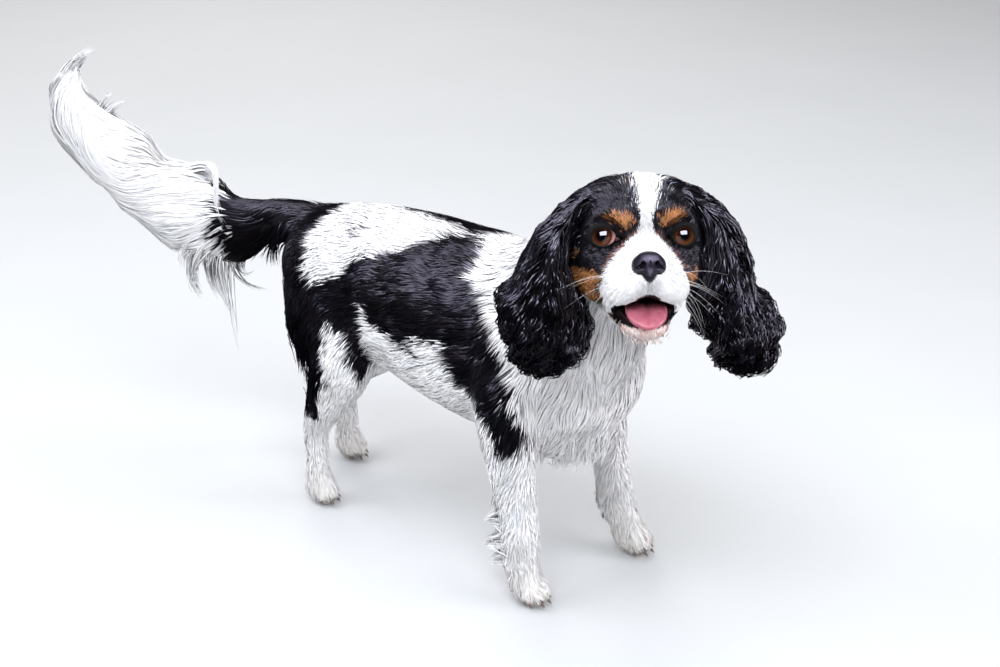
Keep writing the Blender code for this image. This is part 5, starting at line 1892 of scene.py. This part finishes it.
# Loose locks that hang clear of the coat: root, way, length, how wide the lock starts, hairs, colour.
WISPS = [
    ((-0.06, -0.094, 0.104), (-0.05, 0.5, -0.85), 0.026, 0.005, 30, WHITE),
    ((-0.06, -0.096, 0.09), (-0.1, 0.6, -0.76), 0.026, 0.005, 30, WHITE),
    ((-0.06, -0.1, 0.08), (-0.18, 0.9, -0.3), 0.027, 0.0068, 90, WHITE),
    ((-0.06, -0.101, 0.068), (-0.15, 0.7, -0.66), 0.024, 0.0045, 30, WHITE),
    ((-0.059, -0.102, 0.056), (-0.18, 0.94, -0.22), 0.028, 0.0068, 100, WHITE),
    ((-0.059, -0.104, 0.04), (-0.18, 0.9, -0.34), 0.024, 0.0058, 76, WHITE),
    ((0.07, -0.098, 0.104), (0.05, 0.42, -0.9), 0.024, 0.005, 26, WHITE),
    ((0.072, -0.104, 0.084), (0.03, 0.5, -0.85), 0.022, 0.0045, 26, WHITE),
    ((0.074, -0.108, 0.064), (0.05, 0.6, -0.76), 0.02, 0.0045, 26, WHITE),
    ((-0.036, -0.132, 0.132), (0.1, 0.08, -1.0), 0.027, 0.006, 34, WHITE),
    ((-0.028, -0.144, 0.132), (0.08, 0.12, -1.0), 0.027, 0.0066, 40, WHITE),
    ((-0.016, -0.154, 0.134), (-0.03, 0.18, -0.98), 0.027, 0.0068, 44, WHITE),
    ((-0.004, -0.158, 0.134), (0.03, 0.22, -0.98), 0.027, 0.007, 48, WHITE),
    ((0.008, -0.158, 0.134), (-0.03, 0.22, -0.98), 0.027, 0.007, 48, WHITE),
    ((0.02, -0.152, 0.134), (-0.06, 0.18, -0.98), 0.027, 0.0068, 44, WHITE),
    ((0.032, -0.142, 0.134), (-0.05, 0.14, -0.99), 0.026, 0.0064, 38, WHITE),
    ((0.042, -0.128, 0.134), (-0.1, 0.08, -1.0), 0.024, 0.0056, 28, WHITE),
    ((-0.012, -0.13, 0.12), (0.0, 0.4, -0.92), 0.022, 0.0072, 40, WHITE),
    ((0.012, -0.128, 0.12), (0.0, 0.4, -0.92), 0.022, 0.0072, 40, WHITE),
    ((-0.006, -0.106, 0.116), (0.0, 0.6, -0.8), 0.02, 0.0072, 34, WHITE),
    ((0.01, -0.104, 0.116), (0.0, 0.6, -0.8), 0.02, 0.0072, 34, WHITE),
    ((-0.03, -0.158, 0.152), (0.04, 0.06, -1.0), 0.036, 0.008, 34, WHITE),
    ((-0.012, -0.168, 0.154), (-0.02, 0.08, -1.0), 0.038, 0.0085, 40, WHITE),
    ((0.006, -0.168, 0.154), (0.02, 0.08, -1.0), 0.038, 0.0085, 40, WHITE),
    ((0.024, -0.16, 0.152), (-0.04, 0.06, -1.0), 0.036, 0.008, 34, WHITE),
    ((-0.048, 0.163, 0.164), (0.0, 0.08, -1.0), 0.036, 0.0056, 70, BLACK),
    ((-0.048, 0.154, 0.152), (0.0, 0.16, -1.0), 0.042, 0.0064, 90, BLACK),
    ((-0.047, 0.15, 0.138), (0.0, 0.18, -1.0), 0.042, 0.006, 90, BLACK),
    ((-0.046, 0.15, 0.124), (0.0, 0.14, -1.0), 0.038, 0.0052, 70, BLACK),
    ((-0.043, 0.17, 0.112), (0.0, 0.2, -0.98), 0.03, 0.005, 26, BLACK),
    ((-0.043, 0.165, 0.096), (0.0, 0.22, -0.97), 0.026, 0.0045, 24, BLACK),
    ((0.044, 0.218, 0.11), (0.0, 0.2, -0.98), 0.03, 0.005, 24, WHITE),
    ((0.044, 0.214, 0.094), (0.0, 0.22, -0.97), 0.026, 0.0045, 22, WHITE),
]
# The same on the chin, in the head: root as left, forward and up, way, length, width, hairs.
CHIN_WISPS = [
    ((0.0, 0.026, -0.0735), (0.0, 0.0, -1.0), 0.0045, 0.0034, 26),
    ((0.007, 0.024, -0.073), (0.05, -0.1, -1.0), 0.0045, 0.003, 22),
    ((-0.007, 0.024, -0.073), (-0.05, -0.1, -1.0), 0.0045, 0.003, 22),
    ((0.013, 0.019, -0.071), (0.06, -0.2, -1.0), 0.0036, 0.0028, 12),
    ((-0.013, 0.019, -0.071), (-0.06, -0.2, -1.0), 0.0036, 0.0028, 12),
]
# Locks that leave the tail: how far to its left, line as back and up, width at root and tip, hairs, colour.
TAIL_WISPS = [
    (-0.004, [(0.048, -0.006), (0.058, -0.016), (0.068, -0.03), (0.073, -0.04), (0.07, -0.05)],
     0.006, 0.0016, 80, BLACK),
    (0.004, [(0.04, -0.006), (0.05, -0.016), (0.06, -0.028), (0.066, -0.038)], 0.005, 0.002, 50, BLACK),
    (-0.01, [(0.1, -0.012), (0.112, -0.028), (0.119, -0.046), (0.117, -0.062), (0.109, -0.074)],
     0.006, 0.0022, 80, WHITE),
    (-0.006, [(0.086, -0.012), (0.094, -0.03), (0.093, -0.054), (0.088, -0.078), (0.084, -0.092)],
     0.0055, 0.0018, 56, WHITE),
    (-0.012, [(0.112, -0.012), (0.122, -0.024), (0.128, -0.036), (0.127, -0.046)], 0.006, 0.0024, 60, WHITE),
    (0.002, [(0.082, -0.022), (0.083, -0.044), (0.074, -0.06), (0.06, -0.066), (0.045, -0.069)],
     0.004, 0.0012, 16, WHITE),
    (-0.006, [(0.092, -0.016), (0.101, -0.034), (0.102, -0.052), (0.097, -0.068), (0.091, -0.078)],
     0.006, 0.0022, 70, WHITE),
    (0.003, [(0.078, -0.024), (0.08, -0.044), (0.071, -0.056), (0.06, -0.048)], 0.0035, 0.001, 12, WHITE),
    (-0.001, [(0.084, -0.034), (0.085, -0.06), (0.084, -0.088), (0.082, -0.112), (0.081, -0.136)],
     0.0026, 0.001, 8, WHITE),
    (-0.0185, [(0.119, 0.054, -0.004), (0.107, 0.0585, -0.007), (0.096, 0.0605, -0.011), (0.0895, 0.057, -0.015),
               (0.087, 0.047), (0.0885, 0.034), (0.089, 0.022), (0.086, 0.008), (0.079, 0.0)],
     0.0014, 0.0008, 60, WHITE),
    (-0.004, [(0.126, 0.046), (0.115, 0.0475), (0.105, 0.047), (0.096, 0.044), (0.089, 0.037)],
     0.004, 0.002, 90, WHITE),
    (-0.014, [(0.119, 0.051, -0.004), (0.108, 0.055, -0.006), (0.098, 0.0565, -0.009), (0.0925, 0.0515, -0.012),
              (0.0905, 0.042)], 0.0022, 0.0014, 80, WHITE),
    (-0.008, [(0.118, 0.047, -0.002), (0.108, 0.0505, -0.003), (0.099, 0.051, -0.005), (0.094, 0.0455, -0.007),
              (0.092, 0.036)], 0.0024, 0.0016, 80, WHITE),
    (0.0, [(0.212, 0.086), (0.206, 0.098), (0.197, 0.111), (0.186, 0.125)], 0.0038, 0.001, 60, WHITE),
    (0.0, [(0.204, 0.088), (0.196, 0.1), (0.185, 0.11), (0.173, 0.117)], 0.0032, 0.001, 34, WHITE),
    (0.0, [(0.236, 0.09), (0.24, 0.114), (0.231, 0.14), (0.215, 0.156), (0.199, 0.165)],
     0.0046, 0.0006, 150, WHITE),
    (0.0, [(0.226, 0.09), (0.231, 0.112), (0.227, 0.133), (0.215, 0.15), (0.202, 0.162)],
     0.0046, 0.0007, 150, WHITE),
    (0.0, [(0.22, 0.096), (0.222, 0.112), (0.221, 0.126), (0.215, 0.138)], 0.0032, 0.0006, 50, WHITE),
]


def hung(place, way, length, reach=7):
    """The line of a lock that starts in a direction and sinks under its own weight."""
    line = [np.array(place, float)]
    way = unit(np.array(way, float))
    for k in range(reach):
        line.append(line[-1] + unit(way + np.array((0, 0, -0.07)) * k) * length / reach)
    return np.array(line)


def resampled(line, count):
    """A line of few points drawn as a smooth one of many, evenly spaced."""
    line = np.array(line, float)
    for _ in range(3):
        a, b = line[:-1], line[1:]
        within = np.stack([mix(a, b, 0.25), mix(a, b, 0.75)], 1).reshape(-1, 3)
        line = np.vstack([line[:1], within, line[-1:]])
    far = np.concatenate([[0], np.cumsum(np.linalg.norm(np.diff(line, axis=0), axis=1))])
    at = np.linspace(0, far[-1], count)
    return np.stack([np.interp(at, far, line[:, i]) for i in range(3)], 1)


def rooted(place, body):
    """A place moved back into the skin where it lies outside it."""
    place = np.array(place, float)[None]
    for _ in range(4):
        place = place - body.outwards(place) * max(float(body.at(place)[0]) + 0.003, 0.0)
    return place[0]


def wisps_coat(body, hair):
    """Feathering of the legs, chest, chin and tail: loose locks that leave the coat."""
    rng = np.random.default_rng(131)
    rows = [(hung(rooted(place, body), way, length), wide, wide * 0.3, hairs, colour)
            for place, way, length, wide, hairs, colour in WISPS]
    rows += [(hung(in_head(*place), head_way(*way), length), wide, wide * 0.5, hairs, mix(WHITE, CHIN, 0.55))
             for place, way, length, wide, hairs in CHIN_WISPS]
    rows += [([along_tail(*place[:2], *(place[2:] or [aside])) for place in line], wide, close, hairs, colour)
             for aside, line, wide, close, hairs, colour in TAIL_WISPS]
    steps = 8
    s = np.arange(steps + 1)[None, :, None] / steps
    fine = 48
    paths, tints = [], []
    for line, wide, close, hairs, colour in rows:
        line = resampled(line, fine + 1)
        span = np.linalg.norm(line[-1] - line[0])
        spread = np.clip(rng.normal(0, 1, (hairs, 1, 3)), -1.7, 1.7) * mix(wide, close, s ** 0.8)
        phase = rng.uniform(0, 2 * math.pi, (hairs, 1, 3))
        waves = np.sin(phase + s * rng.uniform(2.5, 5.0, (hairs, 1, 1))) * span * 0.022 * s
        begin = rng.uniform(0.0, 0.1, (hairs, 1))
        end = rng.uniform(0.6, 1.0, (hairs, 1))
        at = mix(begin, end, s[:, :, 0]) * fine
        middle = np.stack([np.interp(at, np.arange(fine + 1), line[:, i]) for i in range(3)], 2)
        paths.append(middle + spread + waves)
        tints.append(np.tile(colour, (hairs, 1)))
    path, tint = np.concatenate(paths), np.concatenate(tints)
    around = ways_out(path, body)
    sky = around + np.array((0, 0, 0.4)) + rng.normal(0, 0.15, (len(path), 1, 3))
    dark = tint[:, 0] < 0.1
    count = len(path)
    colour = hair_tones(tint, dark, np.arange(count), rng)
    width = rng.uniform(0.0006, 0.0013, count)
    place = np.where((path[:, 0, 2] > 0.2)[:, None], tail_place(path[:, 0]), leg_place(path[:, 0]))
    comb = np.where(path[:, :1, 2:] > TAIL_ROOT[2] + 0.084, 0.42, 0.62)
    shade = np.where(dark, 0.6, 1.0)
    made = blades(path, unit(sky), width, colour, place, rng, root_shade=shade, tip_light=0.0, flat=0.4,
                  roll=1.2, comb=comb)
    coat_piece("coat_wisps", hair, made)


# ---------------------------------------------------------------- whiskers and claws, one shape set out often
def spread_shape(name, material, points, ways, sizes, length, thick, bow, sides=5, rings=8):
    """A bowed, tapering rod set on each point by a node tree, made real as one piece."""
    mesh = bpy.data.meshes.new(name)
    mesh.from_pydata([tuple(p + STAND) for p in points], [], [])
    turn = mesh.attributes.new("turn", "FLOAT_VECTOR", "POINT")
    size = mesh.attributes.new("size", "FLOAT_VECTOR", "POINT")
    for i, (way, (long, wide, spin)) in enumerate(zip(ways, sizes)):
        rotation = Vector(way).to_track_quat("Z", "Y") @ Euler((0, 0, spin)).to_quaternion()
        turn.data[i].vector = rotation.to_euler()
        size.data[i].vector = (wide, wide, long)
    tree = bpy.data.node_groups.new(name + "_tree", "GeometryNodeTree")
    tree.interface.new_socket("Geometry", in_out="INPUT", socket_type="NodeSocketGeometry")
    knobs = {}
    for label, value in (("Length", length), ("Thickness", thick), ("Bow", bow)):
        socket = tree.interface.new_socket(label, in_out="INPUT", socket_type="NodeSocketFloat")
        socket.default_value = value
        knobs[socket.identifier] = value
    tree.interface.new_socket("Geometry", in_out="OUTPUT", socket_type="NodeSocketGeometry")

    def node(kind, inputs, **settings):
        """A node with its inputs set or joined; returns its first output, or the node if it has none."""
        made = tree.nodes.new(kind)
        for key, value in settings.items():
            setattr(made, key, value)
        for key, value in inputs.items():
            if isinstance(value, bpy.types.NodeSocket):
                tree.links.new(value, made.inputs[key])
            else:
                made.inputs[key].default_value = value
        return made.outputs[0] if made.outputs else made

    given = tree.nodes.new("NodeGroupInput").outputs
    ends = []
    for up, over in ((0.33, 0.0), (0.66, 0.35), (1.0, 1.0)):
        rise = node("ShaderNodeMath", {0: given["Length"], 1: up}, operation="MULTIPLY")
        lean = node("ShaderNodeMath", {0: given["Bow"], 1: over}, operation="MULTIPLY")
        ends.append(node("ShaderNodeCombineXYZ", {"Z": rise, "X": lean}))
    line = node("GeometryNodeCurvePrimitiveBezierSegment",
                {"Resolution": rings, "Start": (0, 0, 0), "Start Handle": ends[0], "End Handle": ends[1],
                 "End": ends[2]})
    along = node("GeometryNodeSplineParameter", {})
    taper = node("ShaderNodeMapRange", {"Value": along, "To Min": 1.0, "To Max": 0.06})
    ring = node("GeometryNodeCurvePrimitiveCircle", {"Resolution": sides, "Radius": given["Thickness"]})
    slimmed = node("GeometryNodeSetCurveRadius", {"Curve": line, "Radius": taper})
    tube = node("GeometryNodeCurveToMesh",
                {"Curve": slimmed, "Profile Curve": ring, "Scale": taper, "Fill Caps": True})
    smooth = node("GeometryNodeSetShadeSmooth", {"Geometry": tube})
    turned = node("GeometryNodeInputNamedAttribute", {"Name": "turn"}, data_type="FLOAT_VECTOR")
    sized = node("GeometryNodeInputNamedAttribute", {"Name": "size"}, data_type="FLOAT_VECTOR")
    rotation = node("FunctionNodeEulerToRotation", {0: turned})
    place = node("GeometryNodeInstanceOnPoints",
                 {"Points": given["Geometry"], "Instance": smooth, "Rotation": rotation, "Scale": sized})
    real = node("GeometryNodeRealizeInstances", {0: place})
    node("NodeGroupOutput", {0: node("GeometryNodeSetMaterial", {"Geometry": real, "Material": material})})

    source = bpy.data.objects.new(name + "_points", mesh)
    bpy.context.scene.collection.objects.link(source)
    modifier = source.modifiers.new("spread", "NODES")
    modifier.node_group = tree
    for knob, value in knobs.items():
        modifier[knob] = value
    bpy.context.view_layer.update()
    ready = source.evaluated_get(bpy.context.evaluated_depsgraph_get())
    made = bpy.data.meshes.new_from_object(ready)
    made.name = name
    bpy.data.objects.remove(source)
    piece = bpy.data.objects.new(name, made)
    bpy.context.scene.collection.objects.link(piece)
    return finish_piece(piece, material)


def plain_material(name, colour, roughness, coat=0.0):
    n = Nodes(name)
    n.set(Base_Color=(*colour, 1), Roughness=roughness, Specular_IOR_Level=0.5)
    if coat:
        n.set(Coat_Weight=coat, Coat_Roughness=0.2)
    return n.material


def spin_down(way):
    """The turn round a whisker's own line that lets it bow downwards."""
    turn = Vector(way).to_track_quat("Z", "Y")
    over, aside = turn @ Vector((1, 0, 0)), turn @ Vector((0, 1, 0))
    return math.atan2(-aside.z, -over.z)


def build_whiskers(head):
    """Stiff pale whiskers off the pads of the muzzle, and a few by the lower lip."""
    rng = np.random.default_rng(15)
    spots, ways, sizes = [], [], []
    for side in (RIGHT, LEFT):
        for row in range(3):
            for k in range(4):
                left = 0.015 + 0.0036 * k + rng.normal(0, 0.0008)
                up = -0.027 - 0.0048 * row + rng.normal(0, 0.0008)
                aim = np.array((0.95, 0.3 - 0.22 * k, 0.12 - 0.34 * row)) + rng.normal(0, 0.12, 3)
                spots.append((left * side, 0.05, up))
                ways.append(aim * np.array((side, 1, 1)))
                sizes.append(rng.uniform(0.55, 1.15))
    for side in (RIGHT, LEFT):
        for left, up, aim in ((0.012, -0.066, (0.4, 0.6, -0.7)), (0.018, -0.062, (0.7, 0.4, -0.6))):
            spots.append((left * side, 0.05, up))
            ways.append(np.array(aim) * np.array((side, 1, 1)))
            sizes.append(rng.uniform(0.35, 0.55))
    points, dirs, scales = [], [], []
    for spot, way, size in zip(spots, ways, sizes):
        h = np.array(spot)
        for _ in range(40):  # back onto the skin
            gap = float(head.at(h[None])[0])
            if gap < 0.0004:
                break
            h = h - np.array((0, 1, 0)) * max(gap * 0.7, 0.0002)
        points.append(head_to_dog(h[None])[0])
        dirs.append(unit(head_way(*way)))
        scales.append((size, 1.0, spin_down(dirs[-1]) + rng.normal(0, 0.35)))
    look = plain_material("whisker_pale", (0.9, 0.89, 0.88), 0.35)
    return spread_shape("whiskers", look, points, dirs, scales, 0.038, 0.00013, 0.017)


PAW_FRONTS = [  # the tip of each paw's middle toes, half the width of the paw
    ((-0.0553, -0.15), 0.0165), ((0.076, -0.162), 0.017), ((-0.042, 0.1245), 0.015), ((0.044, 0.1725), 0.015),
]


def build_claws(body):
    points, dirs, scales = [], [], []
    for (x, y), half in PAW_FRONTS:
        for across, back in ((-0.72, 0.01), (-0.26, 0.003), (0.26, 0.003), (0.72, 0.01)):
            spot = np.array((x + across * half, y + back, 0.0075))
            for _ in range(30):  # out to the skin of the toe
                if float(body.at(spot[None])[0]) > -0.0015:
                    break
                spot = spot + np.array((0, -0.0006, 0))
            points.append(spot)
            dirs.append(unit(np.array((across * 0.25, -0.85, -0.3))))
            scales.append((1.0, 1.0, -math.pi / 2))
    look = plain_material("claw_horn", (0.16, 0.11, 0.085), 0.35, 0.3)
    return spread_shape("claws", look, points, dirs, scales, 0.0043, 0.0016, 0.0014, 8, 5)


# ---------------------------------------------------------------- the whole dog
build_stage()
other_lamps = build_lights()
build_camera()
outline, skin_volume, ear_volume, plume_volume = body_volumes()
skin_points, skin_quads, skin_marks, body_skin, ear_skin, head_volume, lid_meshes = skin_piece(
    skin_volume, ear_volume, plume_volume)
eye_look = eye_material()
wet_pieces = [
    finish_piece(build_eye(RIGHT), eye_look, ["eye_right"]),
    finish_piece(build_eye(LEFT), eye_look, ["eye_left"]),
    build_nose(),
]
wet_glints(wet_pieces, other_lamps)
build_tongue()


def skin_part(first, last):
    """The points and faces of one stretch of the skin."""
    faces = skin_quads[((skin_quads >= first) & (skin_quads < last)).all(1)]
    return skin_points[first:last], faces - first


body_part = skin_part(0, skin_marks[0])
ear_part = skin_part(skin_marks[0], skin_marks[1])
head_part = skin_part(skin_marks[1], len(skin_points))
silky = hair_material("coat_silky", 0.3, 0.6)
glossy = hair_material("ear_locks", 0.24, 1.0)
body_coat(*body_part, body_skin, outline, silky)
head_coat(*head_part, lid_meshes, head_volume, outline, silky)
grounds = Nearest(ear_skin, HeadGround(head_volume), body_skin)
for side in (RIGHT, LEFT):
    ear_coat(side, *ear_part, ear_skin, head_part, grounds, outline, glossy)
tail_coat(*body_part, body_skin, silky)
wisps_coat(body_skin, silky)
build_whiskers(head_volume)
build_claws(body_skin)
